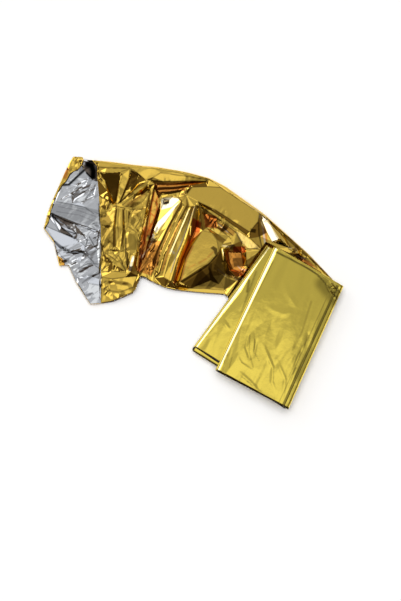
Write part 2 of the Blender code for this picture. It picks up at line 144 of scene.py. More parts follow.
# The sleeve's edges, folds and main creases. Creases that meet have the same place in their lists.
UPPER_CREASES = [
    Crease("far_edge_west", [
        (70, 153.6, 6), (84, 158.6, 9), (97, 159.8, 11.5), (112, 161.8, 13), (134, 164.4, 13.6),
        (151.5, 165.3, 13.6),
    ], 0.2),
    Crease("far_edge_east", [
        (151.5, 165.3, 13.6), (182, 170.7, 12.9), (210, 177.4, 9.8), (225, 185.4, 9.5),
    ], 0.3),
    Crease("far_edge_packet", [(225, 185.4, 9.5), (264, 213.6, 9.5), (308.7, 253.8, 6), (340, 287, 2)]),
    Crease("near_edge_west", [(100, 306, 2.2), (120, 299, 4.5), (136, 293, 4), (139, 277, 5)]),
    Crease("near_edge_middle", [
        (139, 277, 5), (151, 282, 3.5), (165, 288.5, 3.5), (178, 291, 3.6), (203, 293.5, 3.6),
    ]),
    Crease("near_edge_east", [(203, 293.5, 3.6), (226, 295, 3.6), (240, 322, 2), (281, 406, 2)]),
    Crease("cut_end", [
        (94.5, 165, 9.5), (95.4, 170, 8.6), (96, 177, 5.6), (97.5, 194, 3.8), (99, 215, 3.2),
        (100, 240, 3.4), (100.5, 272, 3.4), (100.5, 301, 2.6),
    ], 0.2),
    Crease("band_crest_west", [
        (96, 164, 11.2), (106, 165, 12.8), (129, 166.5, 13.4), (137, 171, 13.2), (145, 178, 12.3),
    ], 0.7),
    Crease("band_crest_east", [
        (145, 178, 12.3), (152, 175, 12.8), (160, 170.5, 13.3), (185, 174, 12.6), (209, 178, 9.7),
    ], 0.8),
    Crease("band_foot", [(97, 169, 10.6), (104, 170.5, 12.9), (120, 169.5, 13.0), (129, 166.5, 13.4)]),
    Crease("brow", [
        (98.5, 171.2, 12.4), (103.5, 178, 10.0), (107.4, 188.4, 6.4), (112.8, 201.2, 2.4),
    ], 0.5),
    Crease("olive_crest", [(99.4, 174.6, 10.4), (105.6, 189.5, 8.8), (111.2, 202.6, 5.8)], 0.3),
    Crease("blade_tall_foot", [
        (120, 169.5, 13.0), (118.6, 174, 11.6), (116.2, 185, 7.6), (113.8, 200.8, 2.4),
    ]),
    Crease("blade_tall_left", [
        (129, 166.5, 13.4), (121.5, 172.2, 12.9), (117.7, 184.6, 10.4), (114.9, 202.4, 6.0),
    ]),
    Crease("blade_tall", [
        (129, 166.5, 13.4), (127.7, 176.4, 12.0), (123.2, 188.4, 10.0), (117.3, 202.3, 6.3),
    ]),
    Crease("blade_tall_back", [
        (130.4, 168.8, 12.8), (128.9, 177, 9.9), (124.4, 189, 5.8), (119.2, 199.6, 3.2),
    ]),
    Crease("dark_facet", [
        (130.4, 168.8, 12.8), (136.8, 173.6, 11.4), (137, 181.4, 9.0), (130.6, 188.2, 6.6),
        (119.2, 199.6, 3.2),
    ]),
    Crease("blade_long", [(144.6, 180.2, 12.2), (132, 189.4, 10.4), (119.9, 200.6, 6.4)]),
    Crease("blade_long_near", [(147, 183, 11.4), (134, 193, 9.6), (121.5, 203.4, 6.3)]),
    Crease("pit", [(147, 185.6, 9.2), (140, 190.8, 7.4), (135, 194.4, 8.2)]),
    Crease("blade_low", [(148, 188, 11), (141, 193.4, 9.6), (131, 200, 8), (124, 205.2, 6.4)]),
    Crease("blade_low_foot", [(146.5, 193.5, 9.6), (141, 201, 8), (131, 206.8, 6.2)]),
    Crease("waist", [
        (99, 215, 3.2), (111, 206, 5.6), (114.5, 204.5, 6), (124, 207, 6), (133, 208.5, 6.3),
        (142, 207.5, 8),
    ]),
    Crease("pleat_west", [(114.5, 208, 7.2), (112.5, 225, 8.2), (112.5, 247, 7.2)]),
    Crease("pleat_west_foot", [(115.8, 208.5, 6), (114.5, 225, 6.4), (115, 246, 6)]),
    Crease("pleat_east", [(121.5, 208.5, 7.2), (122, 228, 8.2), (120, 250, 7.6)]),
    Crease("pleat_east_foot", [(123.2, 209.5, 6.2), (124, 227, 6.4)]),
    Crease("pleat_far_east", [(127.5, 209.5, 6.9), (127, 226, 7.2)]),
    Crease("olive_panel", [(129.5, 212, 6), (139, 211, 8.6), (140, 218, 8.4), (135, 227, 7.4)]),
    Crease("dark_notch", [(99.5, 223, 3.6), (107, 228, 5.8), (103.5, 240, 5.4)]),
    Crease("bulge_foot", [(125, 232, 6.2), (125, 250, 6.3), (127, 268, 6)]),
    Crease("bulge_far_foot", [(137.5, 238, 7), (137, 250, 7), (136, 265, 7)]),
    Crease("bulge_light", [(131.2, 254.5, 8.0), (129, 268, 8.0)], 0.2),
    Crease("bulge_light_near", [(135, 256.5, 9.8), (133.2, 265.5, 9.8), (130.4, 272.3, 8.8)], 0.2),
    Crease("crumpled_foot", [
        (103, 253, 6), (112, 262, 8.5), (118, 255, 6.5), (126, 272, 7.5), (114, 271, 6),
    ]),
    Crease("foot_top", [(102, 277, 6), (112, 279, 6.8), (125, 277, 7.2), (137.5, 276, 6.5)]),
    Crease("foot_low", [(106, 290, 5), (120, 292, 6.2), (133, 287, 5.8)]),
    Crease("long_ridge_foot", [(149.5, 187, 10), (145.5, 206, 9.5), (141, 232, 9), (138.5, 250, 9)]),
    Crease("long_ridge", [(154, 182, 12.0), (148, 210, 12.6), (142, 243, 11.2), (138, 273, 7)]),
    Crease("valley_west", [(154.2, 187, 6.9), (149.8, 208, 4.8), (145.6, 230, 3.1), (142.4, 250, 3.5)]),
    Crease("valley_floor", [
        (158, 196.4, 5.8), (156.3, 210, 4.4), (151, 228, 3.0), (146, 247, 3.4), (142, 262, 4.2),
    ], 0.3),
    Crease("white_foot", [(170, 208, 9.5), (157, 221, 6.8), (153.5, 229, 6.9)], 0.6),
    Crease("white_west", [(160, 198, 5.8), (160, 209, 6.2), (157, 221, 6.8)], 0.4),
    Crease("island", [
        (162.5, 199, 5.6), (169, 198.4, 7.8), (168.5, 202, 8.3), (163, 203.5, 6.6), (162.5, 199, 5.6),
    ], 0.5),
    Crease("island_top", [(164, 200.3, 8.0), (167.5, 200, 9.0)], 0.5),
    Crease("white_crest", [(181, 200, 12.5), (175, 207, 11.4), (166, 220, 10.0), (156.5, 234.5, 8.6)]),
    Crease("hump_low", [(152, 236, 8.5), (156, 241, 8), (150, 252, 6), (144.5, 267, 5.5)]),
    Crease("hump_south", [(153, 250, 7.5), (152, 268, 6.5), (155, 278, 4.5)]),
    Crease("band_lip", [(150, 179, 11.6), (163, 179.5, 12.2), (185, 179, 12.1), (208, 178.9, 9.5)]),
    Crease("red_1", [(157, 183, 9.6), (170, 182.8, 9.4), (190, 181.5, 9.2), (206, 180.1, 8.9)]),
    Crease("red_2", [(156.8, 185.8, 10.5), (172, 185.2, 10.3), (190, 183.4, 10.0)]),
    Crease("red_3", [(157, 188.4, 8.8), (172, 187.5, 9.0), (186.5, 185.4, 9.2)]),
    Crease("red_4", [(160, 190.5, 8.6), (171, 189.6, 9.8), (183.5, 187.4, 10.0)]),
    Crease("red_5", [(160.4, 193.3, 6.4), (170, 192.4, 8.4), (180.5, 190.2, 9.0)]),
    Crease("white_top", [
        (160, 198, 5.8), (162, 196.4, 6.0), (171, 195.8, 8.3), (178, 196.6, 10.4),
    ], 0.6),
    Crease("panel_west", [(192, 185.5, 12), (186, 194, 11.9), (182, 200, 11.9)]),
    Crease("panel_far", [
        (192, 185.5, 12), (208, 185, 12), (221, 185.8, 11.9), (229, 191.5, 11.9), (245, 202, 11.7),
        (260, 212, 11.4),
    ]),
    Crease("panel_near", [
        (198, 200.5, 11.9), (216, 209.5, 11.9), (235, 221.5, 11.9), (250, 231.5, 11.8),
    ]),
    Crease("panel_end", [(250, 231.5, 11.8), (255, 225, 11.8), (258.5, 221, 11.8), (260, 212, 11.4)]),
    Crease("sliver", [(258.5, 221, 11.8), (260.5, 236, 7), (262, 248.5, 8)]),
    Crease("panel_groove", [(201, 203.5, 10.4), (214, 211.2, 9.6), (233, 224, 9.2), (247, 234.5, 8.8)]),
    Crease("second_line", [
        (203, 206.5, 11), (213, 214, 10), (224, 221.5, 9.5), (236, 229, 9.4), (250, 238, 9.5),
        (262, 249.5, 8.8),
    ]),
    Crease("fan_1", [(180.5, 202, 12.4), (168, 225, 11.4), (156.5, 250, 9.6), (152.5, 268, 7)]),
    Crease("fan_1_foot", [(182, 203.5, 11.4), (169.6, 226, 10.2), (158, 251, 8.3), (154, 269, 5.8)]),
    Crease("fan_light", [(184, 204.4, 11.8), (172.6, 227, 11.0), (161, 252, 9.4), (156, 271, 6.8)]),
    Crease("fan_light_foot", [
        (182.9, 204.3, 11.2), (171.2, 226.6, 10.1), (159.6, 251.5, 8.5), (155, 270, 6.1),
    ]),
    Crease("fan_2", [(186, 204.5, 12), (175, 228, 11.2), (163.5, 253, 9.8), (158, 273, 7.2)]),
    Crease("fan_2_foot", [(187.3, 206, 11), (176.6, 229, 9.8), (165, 254, 8.3), (159.5, 274, 5.8)]),
    Crease("fan_3", [(191, 206, 11.8), (181, 230, 10.9), (170.5, 255, 10), (164, 277, 7.5)]),
    Crease("fan_3_foot", [
        (189, 206, 10.7), (179.1, 229.5, 9.8), (168.6, 254.5, 8.9), (162.1, 276, 6.4),
    ]),
    Crease("fan_4", [
        (196, 204, 11.8), (190.5, 224, 11.2), (184.5, 243, 10.8), (178, 258, 10.2), (171, 281, 8.5),
    ]),
    Crease("fan_4_foot", [
        (194, 205, 10.6), (188.6, 223.5, 10.0), (182.6, 242.5, 9.6), (176.1, 257.5, 9.0),
        (169.1, 280.2, 7.3),
    ]),
    Crease("red_fold", [
        (197.5, 211, 9.4), (196.5, 226, 7.2), (189, 243, 6.4), (182.5, 258, 6.2), (175.5, 281, 6),
    ]),
    Crease("blade_short", [(199, 203.5, 12), (200.5, 216, 11.4), (202.5, 230, 10.8)]),
    Crease("triangle_west", [
        (202.5, 230, 10.8), (192.5, 245, 10.6), (186, 258, 10.4), (180, 281.5, 10.1),
    ]),
    Crease("triangle_far", [
        (202.5, 230, 10.8), (212, 232.5, 10.8), (217, 240, 10.7), (219, 251, 10.5),
    ]),
    Crease("triangle_near", [
        (219, 251, 10.5), (210, 262.5, 10.4), (200, 268.5, 10.3), (180, 281.5, 10.1),
    ]),
    Crease("dark_floor", [(204, 212, 8.6), (210, 222, 7.0), (218, 228, 7.2), (229, 236, 7.2)]),
    Crease("dark_floor_near", [(207, 227, 8.5), (218, 234, 9), (226, 240, 8)]),
    Crease("dark_panel_east", [(221, 247, 10.0), (223.5, 262, 6.2), (226, 274, 3.8)]),
    Crease("dark_v", [(208.5, 265.5, 9.2), (210.5, 280, 3.6)]),
    Crease("dark_v_east", [(214, 261, 9.4), (213, 276, 5.2), (219, 284, 2.6)], 0.6),
    Crease("near_hem", [(178, 286.5, 2.2), (190, 288.3, 2.0), (210, 289, 1.8), (224, 290.2, 1.8)]),
    Crease("yellow_west", [(237, 232, 8.9), (242, 241, 7.7), (247, 249, 6.7)]),
    Crease("crescent", [(223, 243.5, 9.5), (229, 245, 10), (234, 244, 9.5), (230, 248.5, 7.5)]),
    Crease("pocket_rim_west", [
        (224, 249, 11), (226, 262, 11.5), (229, 270.5, 10.5), (238, 279.5, 7.5),
    ]),
    Crease("pocket_floor_west", [(228.5, 252, 4.6), (230, 262, 4.4), (233, 269, 4.4), (240, 272, 4)]),
    Crease("pocket_floor_east", [(241.5, 252.5, 4.4), (242.5, 260, 4.6), (243, 266, 4.4)]),
    Crease("pocket_rim_east", [(246, 251.8, 8.0), (246.5, 260, 8.5), (247, 266, 7)]),
    Crease("gold_tip", [(238, 280, 6.5), (241, 276, 6.5), (246, 277.5, 4)]),
    Crease("white_blade_foot", [(262.5, 220, 8.6), (267.5, 232, 7.3), (272.5, 241.5, 6.7)]),
    Crease("white_blade", [(262, 213.5, 10.8), (267, 218, 11.3), (272, 226, 11.3), (280, 238.5, 11.2)]),
    Crease("far_band_foot", [(272, 222, 7.5), (285, 235.5, 5.5), (297, 247, 4.5), (318, 266.5, 3)]),
    Crease("east_crumple", [(291, 248, 6), (299, 253, 7.5), (306, 260, 4.5)]),
    Crease("surround_far", [(30, 120, 6), (380, 120, 6)]),
    Crease("surround_near", [(30, 440, 2), (380, 440, 2)]),
]

# Film that swells or sinks between its creases.
UPPER_SWELLS = [
    Mark("bulge", [(131, 236), (132, 250), (131, 264)], 8.0, 1.2),
    Mark("soft_hollow", [(106, 196), (101, 212)], 5.0, 0.8),
    Mark("foot_hollow", [(112, 286), (126, 288)], 7.0, -0.7),
]
# Painted shade: dark lines along creases, painted shadows, and facets painted dark where they would
# mirror something dark.
UPPER_DARK = [
    Mark("curl", [
        (209.5, 247.8), (213.5, 245.3), (218, 248.5), (217.5, 254), (214.8, 256), (213.2, 250.6),
    ], 0, 0.85),
    Mark("triangle_edge", [(213, 257), (207, 263.5), (197, 268), (187, 275)], 0.9, 0.4),
    Mark("waist", [(129, 208), (141, 208.5)], 1.2, 0.8),
    Mark("black_facet", [(179, 194), (185, 188.5), (192, 185), (189.5, 190), (184, 195)], 0, 0.75),
    Mark("panel_end", [(250.5, 227.5), (257, 228.5), (256, 233), (250, 232)], 0, 0.85),
    Mark("pocket_hollow", [(232, 257.5), (244.5, 257), (245, 266), (234, 267)], 0, 0.62),
    Mark("under_triangle", [(181, 282.5), (206, 266.8), (217, 255)], 1.3, 0.9),
    Mark("dark_panel", [
        (183, 284), (206, 268), (217, 257), (221, 249), (226, 262), (231, 276), (227, 291), (205, 288),
        (186, 286.5),
    ], 0, 0.45),
    Mark("dark_v", [(208, 265), (211, 281), (213, 276), (212.5, 262)], 0, 0.75),
    Mark("dark_streak", [(217, 270), (221, 282), (226, 291)], 1.1, 0.85),
    Mark("dark_panel_near", [
        (211, 270), (219, 272), (228, 278), (237, 281), (230, 288), (226, 289.5), (209, 287),
        (194, 285.5),
    ], 0, 0.78),
    Mark("dark_panel_side", [
        (217, 257), (221, 249), (225, 258), (228, 270), (234, 279), (226, 277), (213, 269),
    ], 0, 0.7),
    Mark("east_line_1", [(289, 248.5), (300, 255), (309, 260.5)], 0.8, 0.85),
    Mark("east_line_2", [(293, 254), (303, 259.5)], 0.9, 0.8),
    Mark("east_line_3", [(301, 256.5), (308, 258)], 1.0, 0.85),
    Mark("gold_line_1", [(217, 221.5), (226, 229), (233, 235)], 0.8, 0.75),
    Mark("gold_line_2", [(221, 221), (230, 227), (237, 233)], 0.8, 0.7),
    Mark("gold_line_3", [(219, 226.5), (224, 231), (231, 238)], 0.7, 0.6),
    Mark("yellow_line", [(247, 248.6), (255, 248.2), (262, 249.6)], 0.7, 0.85),
    Mark("yellow_line_far", [(236, 231), (240, 240), (248, 248)], 0.7, 0.55),
    Mark("blade_line", [(258.8, 222), (259.5, 234), (262, 246)], 1.0, 0.85),
    Mark("wedge_shadow", [(221, 243.6), (232, 241), (232, 244), (223, 245.4)], 0, 0.7),
    Mark("brown_side_1", [(98, 212), (108, 214), (112, 222), (107, 228), (99, 224)], 0, 0.75),
    Mark("brown_side_2", [(99.5, 224), (107, 228.5), (101, 240)], 0, 0.8),
    Mark("brown_side_3", [(101, 240), (108, 232), (112, 240), (108, 250), (100.5, 250)], 0, 0.4),
    Mark("brown_side_4", [(108, 212), (112.5, 211), (112, 221)], 0, 0.3),
    Mark("ridge_side_1", [(131, 214), (136, 218), (133, 228), (129, 222)], 0, 0.65),
    Mark("ridge_side_2", [(140, 218), (146, 212), (143, 228), (138, 226)], 0, 0.6),
    Mark("ridge_side_5", [(130, 206.5), (138, 207), (136, 214), (131, 212)], 0, 0.6),
    Mark("ridge_side_6", [(137, 229), (142, 230), (139.5, 250), (137, 247)], 0, 0.45),
    Mark("left_side", [(98.5, 210), (106, 209), (110, 232), (108, 252), (99, 252)], 0, 0.6),
    Mark("ridge_side_3", [(134, 206), (139, 220)], 0.8, 0.5),
    Mark("ridge_side_4", [(128, 226), (136, 232)], 0.8, 0.5),
    Mark("hump_line_1", [(143, 250), (150, 270)], 0.8, 0.6),
    Mark("hump_line_4", [(140.5, 262), (147, 251), (156, 240)], 0.8, 0.75),
    Mark("hump_line_5", [(141, 268), (150, 256), (157, 248)], 0.8, 0.7),
    Mark("hump_line_2", [(146, 262), (156, 245)], 0.8, 0.55),
    Mark("hump_line_3", [(152, 262), (158, 250)], 0.8, 0.5),
    Mark("band_line_west", [(96, 165), (112, 165.8), (128, 165.8), (134, 169), (139.5, 175)], 0.8, 0.8),
    Mark("band_line_east", [(150, 177), (160, 170.8), (185, 174.3), (208, 178)], 0.8, 0.65),
    Mark("olive_panel", [(130, 206), (146, 204), (145, 216), (139, 220), (130, 214)], 0, 0.22),
    Mark("hump", [(145, 240), (161, 240), (159, 262), (151, 276), (139, 272)], 0, 0.16),
    Mark("fan_gap_1", [(186, 212), (180, 226), (172, 245)], 0.7, 0.7),
    Mark("fan_gap_2", [(189.5, 211), (185, 221), (181, 231)], 0.7, 0.6),
    Mark("fan_gap_3", [(178, 207), (168, 226), (159, 248)], 0.7, 0.6),
    Mark("fan_gap_4", [(171, 250), (166, 262), (162, 275)], 0.7, 0.6),
    Mark("west_side", [
        (113, 206), (146, 204), (143, 230), (138, 272), (124, 272), (113, 250),
    ], 0, 0.12),
    Mark("west_side_left", [(97, 204), (113, 206), (113, 250), (99, 252)], 0, 0.3),
    Mark("small_facet_1", [(127, 209), (131.5, 213), (128, 226), (126, 221)], 0, 0.4),
    Mark("small_facet_2", [(141, 197), (147, 199), (146, 207), (142, 206)], 0, 0.4),
    Mark("olive_bulge", [
        (128, 232), (134, 233.5), (137, 241), (135.5, 252), (131, 256), (129, 265), (126, 262),
        (125.5, 243),
    ], 0, 0.5),
    Mark("pleat_line_1", [(113.5, 209), (112.5, 228), (113.5, 247)], 0.8, 0.6),
    Mark("pleat_line_2", [(117.5, 208), (117, 226), (118.5, 246)], 0.8, 0.6),
    Mark("pleat_line_3", [(121.5, 208), (123, 230), (120.5, 250)], 0.8, 0.55),
    Mark("pleat_line_4", [(125.5, 209), (126, 228)], 0.8, 0.55),
    Mark("knot_line_1", [(103, 252), (110, 256), (118, 262)], 0.9, 0.7),
    Mark("knot_line_2", [(108, 250), (106, 258), (110, 262)], 0.8, 0.6),
    Mark("knot_line_3", [(112, 252), (117, 258), (124, 268)], 0.8, 0.6),
    Mark("foot_fleck_1", [(104, 289), (108, 286)], 1.0, 0.9),
    Mark("foot_fleck_2", [(106, 293), (110, 290)], 1.0, 0.9),
    Mark("foot_fleck_3", [(111, 296), (113, 293)], 0.9, 0.8),
    Mark("foot_fleck_4", [(103, 283), (106, 281)], 0.9, 0.7),
    Mark("far_side", [
        (264, 214), (272, 221), (282, 233), (289, 247), (281, 243), (276, 237), (269, 222),
    ], 0, 0.62),
    Mark("far_rim", [
        (151, 165.6), (182, 171), (210, 177.7), (225, 185.7), (264, 213.9), (308, 253),
    ], 0.7, 0.55),
    Mark("maroon_floor", [(192, 217), (201, 222), (199, 228), (191, 232)], 0, 0.3),
    Mark("red_top", [(190.5, 230), (201, 229), (199, 236), (192, 243)], 0, 0.4),
    Mark("maroon_crumple", [(203, 213), (216, 216), (217, 227), (206, 225)], 0, 0.2),
    Mark("maroon", [(197, 214), (196, 224), (192.5, 231)], 3.0, 0.3),
    Mark("bulge_side", [(125.5, 238), (125.8, 255), (127.5, 268)], 1.6, 0.9),
    Mark("island", [(161.5, 198.3), (169.5, 197.5), (169, 203), (163, 204)], 0, 0.6),
    Mark("maroon_pleats", [(158, 184.5), (172, 184), (192, 182.5)], 1.2, 0.2),
    Mark("hump_hollow", [(147.5, 235), (149, 239)], 1.8, 0.8),
]
# Painted highlights: facets and lines painted pale where they would mirror a lamp.
UPPER_PALE = [
    Mark("wedge", [
        (180.5, 199), (170, 208), (157, 221), (153, 229), (155.5, 233.5), (166, 220.5), (175, 207.5),
    ], 0, 0.75),
    Mark("wedge_top", [(160, 198), (171, 196), (180, 198.4), (172, 206), (160, 209)], 0, 0.7),
    Mark("hump_ridge", [(141, 258), (154, 238)], 0.9, 0.5),
    Mark("hump_facet", [(148, 236), (152, 231), (155, 235), (151, 242)], 0, 0.6),
    Mark("east_facet", [(294, 245), (300, 250), (297, 252)], 0, 0.5),
    Mark("wedge_edge", [(162, 197.5), (172, 196.5), (178, 198)], 1.6, 0.6),
    Mark("white_blade", [
        (262, 214), (267, 218), (279.5, 237.5), (278, 241), (272, 241), (267.5, 232), (263, 221),
    ], 0, 0.75),
    Mark("yellow_spot", [(171, 250), (174, 253)], 1.8, 0.45),
    Mark("yellow_panel", [
        (235.5, 230), (243, 233), (250, 239), (262, 249), (248, 248), (241, 242), (238, 237),
    ], 0, 0.14),
    Mark("yellow_blade", [(260.3, 215), (262.5, 222), (264, 232), (265.5, 243)], 1.3, 0.6),
    Mark("east_light_1", [(296, 255.5), (305, 258.5)], 1.0, 0.7),
    Mark("east_light_2", [(286, 245.5), (292, 248)], 1.0, 0.6),
    Mark("gold_light", [(219, 223.8), (228, 231.5)], 0.9, 0.5),
    Mark("pocket_light", [(238, 266), (241, 269), (246, 270)], 0.9, 0.3),
    Mark("panel_streak_1", [(218, 269), (226, 276)], 0.8, 0.35),
    Mark("panel_streak_2", [(227, 272), (237, 280)], 0.9, 0.5),
    Mark("fan_line_1", [(189, 209), (179, 232), (170, 253)], 0.9, 0.45),
    Mark("fan_line_2", [(194.5, 206), (187.5, 226), (176, 256), (171, 272)], 0.9, 0.45),
    Mark("bulge", [(133, 257), (131, 265), (129.8, 270)], 1.8, 0.9),
    Mark("crescent", [(223, 245.5), (229, 246.5), (233, 245)], 1.3, 0.35),
    Mark("pocket_rim", [(223, 250), (225.5, 262), (229, 271)], 0.8, 0.6),
    Mark("gold_tip", [(239, 279), (243, 278)], 1.3, 0.6),
]
# Painted reflections: facets painted orange where they would mirror another gold wall.
UPPER_WARM = [
    Mark("valley_far", [(151, 189), (160, 189), (160, 204), (149.5, 204)], 0, 0.28),
    Mark("valley", [(149, 203.5), (159.5, 203.5), (157.5, 217), (152, 223), (147.5, 222)], 0, 0.26),
    Mark("valley_line_1", [(153.5, 190), (150.5, 206), (148.5, 222)], 1.0, 0.95),
    Mark("valley_line_2", [(158, 193), (155.5, 199), (156.5, 207), (152.5, 221)], 0.9, 0.9),
    Mark("valley_line_3", [(159, 205), (155, 216), (147, 231), (141, 252)], 1.0, 0.95),
    Mark("valley_line_4", [(152, 198), (157.5, 203)], 0.8, 0.8),
    Mark("valley_line_5", [(150, 212), (156, 217)], 0.9, 0.85),
    Mark("valley_near", [(147.5, 221.5), (156, 221.5), (152.5, 232), (141, 241), (144, 229)], 0, 0.65),
    Mark("valley_low", [(145, 228), (142, 245), (139, 270)], 3.5, 0.8),
    Mark("hump", [(145, 240), (161, 240), (159, 262), (151, 276), (139, 272)], 0, 0.55),
    Mark("far_pleats", [
        (153, 181.5), (209, 178.6), (192, 184.5), (183, 187.5), (160, 192.5), (155, 191),
    ], 0, 0.55),
    Mark("far_pleats_end", [(157, 190.5), (184, 188)], 2.0, 0.6),
    Mark("blade_spot", [(138, 188), (142, 187.5), (141.5, 191.5), (138, 191)], 0, 0.85),
    Mark("blade_lower", [(123, 203.5), (143, 190), (146, 193), (131, 203.5)], 0, 0.25),
    Mark("fan_streak", [(181, 217), (170, 245), (162, 270)], 1.3, 0.5),
    Mark("fan_streak_west", [(171, 224), (160, 252), (157, 266)], 1.2, 0.45),
    Mark("triangle_rim", [(193, 246), (186.5, 259), (181, 280)], 1.5, 0.5),
    Mark("triangle_fleck_1", [(188, 268), (195, 264.5)], 1.5, 0.25),
    Mark("triangle_fleck_2", [(199, 263), (206, 259)], 1.5, 0.28),
    Mark("triangle_fleck_3", [(208, 257), (213, 252)], 1.4, 0.3),
    Mark("maroon_floor", [(192, 216), (202, 222), (200, 232), (191, 233)], 0, 0.9),
    Mark("red_fold", [
        (191, 231), (201, 231), (190.5, 244), (184, 257), (179, 272), (176, 284), (172.5, 284),
        (176.5, 268), (182, 251), (187, 240),
    ], 0, 0.75),
    Mark("maroon_crumple", [(203, 212), (217, 215), (218, 228), (205, 227)], 0, 0.75),
    Mark("gold_crumple", [(217, 220), (236, 230), (234, 236), (219, 230)], 0, 0.3),
    Mark("pocket", [(225, 250), (245, 250), (245, 269), (233, 270), (228, 262)], 0, 0.55),
    Mark("pocket_top", [(233, 246), (246, 245.5), (246, 252), (233, 252.5)], 0, 0.9),
    Mark("pocket_near", [(228.5, 269.5), (247, 268), (246, 277), (236, 277)], 0, 0.75),
    Mark("white_blade_side", [(263, 222), (268, 232), (268.5, 243), (262.5, 238)], 0, 0.5),
    Mark("east_crumple", [(292, 250), (309, 260), (319, 268.5), (303, 264)], 0, 0.65),
]
# How crumpled each part of the sleeve is.
UPPER_CRUMPLE = [
    Spot("west_sparkle", 104, 207, 5, 6, 0.9),
    Spot("dark_facet", 110, 181, 12, 15, 0.0),
    Spot("top_band", 150, 166, 24, 6, 0.03),
    Spot("blades", 132, 190, 12, 12, 0.12),
    Spot("pleats", 120, 226, 16, 16, 0.3),
    Spot("crumpled_knot", 112, 258, 11, 9, 1.0),
    Spot("gold_foot", 120, 288, 16, 9, 0.12),
    Spot("foot_flecks", 106, 291, 5, 5, 0.8),
    Spot("hump", 150, 250, 7, 14, 0.8),
    Spot("valley", 155, 206, 3.5, 12, 0.3),
    Spot("far_pleats", 175, 186, 14, 3.5, 0.35),
    Spot("fan", 175, 235, 12, 28, 0.2),
    Spot("flat_panel", 215, 196, 24, 9, 0.02),
    Spot("flat_panel_end", 246, 214, 12, 10, 0.0),
    Spot("white_blade", 271, 228, 6, 12, 0.0),
    Spot("flat_triangle", 202, 252, 18, 20, 0.0),
    Spot("dark_panel", 207, 280, 24, 10, 0.1),
    Spot("brown_crumple", 213, 220, 9, 7, 1.1),
    Spot("gold_crumple", 227, 228, 8, 3.5, 0.8),
    Spot("yellow_panels", 247, 241, 10, 7, 0.03),
    Spot("east_band", 284, 237, 12, 10, 0.03),
    Spot("pocket", 237, 262, 8, 9, 0.35),
    Spot("east_crumple", 302, 256, 8, 5, 0.8),
]


def plan(x, y):
    """Plan coordinates as metres in the frame, as an array whose last axis is (X, Y)."""
    across = (np.asarray(x, float) - PLAN_CENTRE[0]) * UNIT_ACROSS
    deep = (PLAN_CENTRE[1] - np.asarray(y, float)) * UNIT_DEEP
    return np.stack(np.broadcast_arrays(across, deep), axis=-1)


def beside(points, path):
    """How far each point lies from a path through some spots, in metres."""
    result = np.full(points.shape[:-1], 1.0)
    for start, end in zip(path, path[1:]):
        along = np.clip((points - start) @ (end - start) / ((end - start) @ (end - start)), 0, 1)
        gap = np.linalg.norm(points - start - along[..., None] * (end - start), axis=-1)
        result = np.minimum(result, gap)
    return result


LINE_REACH = 0.85 * MM  # a crease's painted dark line spreads this far to either side of it
LINE_MEAN, LINE_CHANGE = 0.65, 0.35  # its strength, and how far that goes up and down
LINE_PATCH = 9 * MM  # the length over which its strength changes
LINE_SEED = 71


def crease_lines(points, creases):
    """The painted dark line along each crease, shade with some scuffing, from 0 to 1, stronger and
    weaker along its length.
    """
    change = facets(points[..., 0], points[..., 1], LINE_PATCH, LINE_SEED)
    uneven = LINE_MEAN + LINE_CHANGE * change
    result = np.zeros(points.shape[:-1])
    for crease in creases:
        x, y, height = np.array(crease.places, float).T
        gap = beside(points, plan(x, y + height * VIEW_LEAN))
        result = np.maximum(result, crease.line * (1 - gap / LINE_REACH) * uneven)
    return result


MARK_EDGE = 0.7 * MM  # the width over which an outlined mark fades in
MARK_CORE = 1.3  # a streak is at full strength beside its path, and fades from there


def marked(points, heights, marks):
    """The strongest of some marks at each point. A mark without reach fills the outline that its
    places draw. heights are the points', in millimetres."""
    shown = points.copy()
    shown[..., 1] += heights * VIEW_LEAN * UNIT_DEEP
    result = np.zeros(points.shape[:-1])
    for mark in marks:
        path = plan(*np.array(mark.places, float).T)
        if mark.reach:
            near = eased(MARK_CORE * (1 - beside(shown, path) / (mark.reach * MM)))
        else:
            outline = np.concatenate([path, path[:1]])
            near = inside_outline(shown, outline) * eased(beside(shown, outline) / MARK_EDGE)
        result = np.where(near * abs(mark.strength) > abs(result), near * mark.strength, result)
    return result


SAME_SPOT = 1e-9  # creases that come this close, in metres, meet there
ON_EDGE = 1e-6  # how far past a triangle's edge, as a share of it, a point still counts as inside


def creased(points, creases):
    """The height at each point, in millimetres, of film that is straight between its creases: the
    creases' places are joined into triangles, with every stretch of crease an edge of some of
    them, and each triangle is flat."""
    places, edges = [], []
    for crease in creases:
        for number, place in enumerate(crease.places):
            if place not in places:
                places.append(place)
            if number:
                edges.append((places.index(crease.places[number - 1]), places.index(place)))
    x, y, height = np.array(places, float).T
    spots = plan(x, y + height * VIEW_LEAN)
    corners, _, triangles, came_from, _, _ = mathutils.geometry.delaunay_2d_cdt(
        [Vector(spot) for spot in spots], edges, [], 0, SAME_SPOT
    )
    corners = np.array(corners)
    crossed = [tuple(corner) for corner, source in zip(corners, came_from) if not source]
    if crossed:
        raise ValueError(f"creases cross at {crossed}")
    heights = height[[source[0] for source in came_from]]
    result = np.zeros(points.shape[:-1])
    for triangle in triangles:
        base, ahead, aside = corners[list(triangle)]
        ahead, aside = ahead - base, aside - base
        area = ahead[0] * aside[1] - ahead[1] * aside[0]
        offset = points - base
        a = (offset[..., 0] * aside[1] - offset[..., 1] * aside[0]) / area
        b = (ahead[0] * offset[..., 1] - ahead[1] * offset[..., 0]) / area
        inside = (a >= -ON_EDGE) & (b >= -ON_EDGE) & (a + b <= 1 + ON_EDGE)
        low, first, second = heights[list(triangle)]
        flat = low + a * (first - low) + b * (second - low)
        result = np.where(inside, flat, result)
    return result


LATTICE = 61  # how many points a lattice has along each side before it repeats
PUSH_CELL = 1.7  # the cell of the lattice that pushes, in cells of the one that is pushed
PUSH = 0.6  # how far it pushes, in the same cells


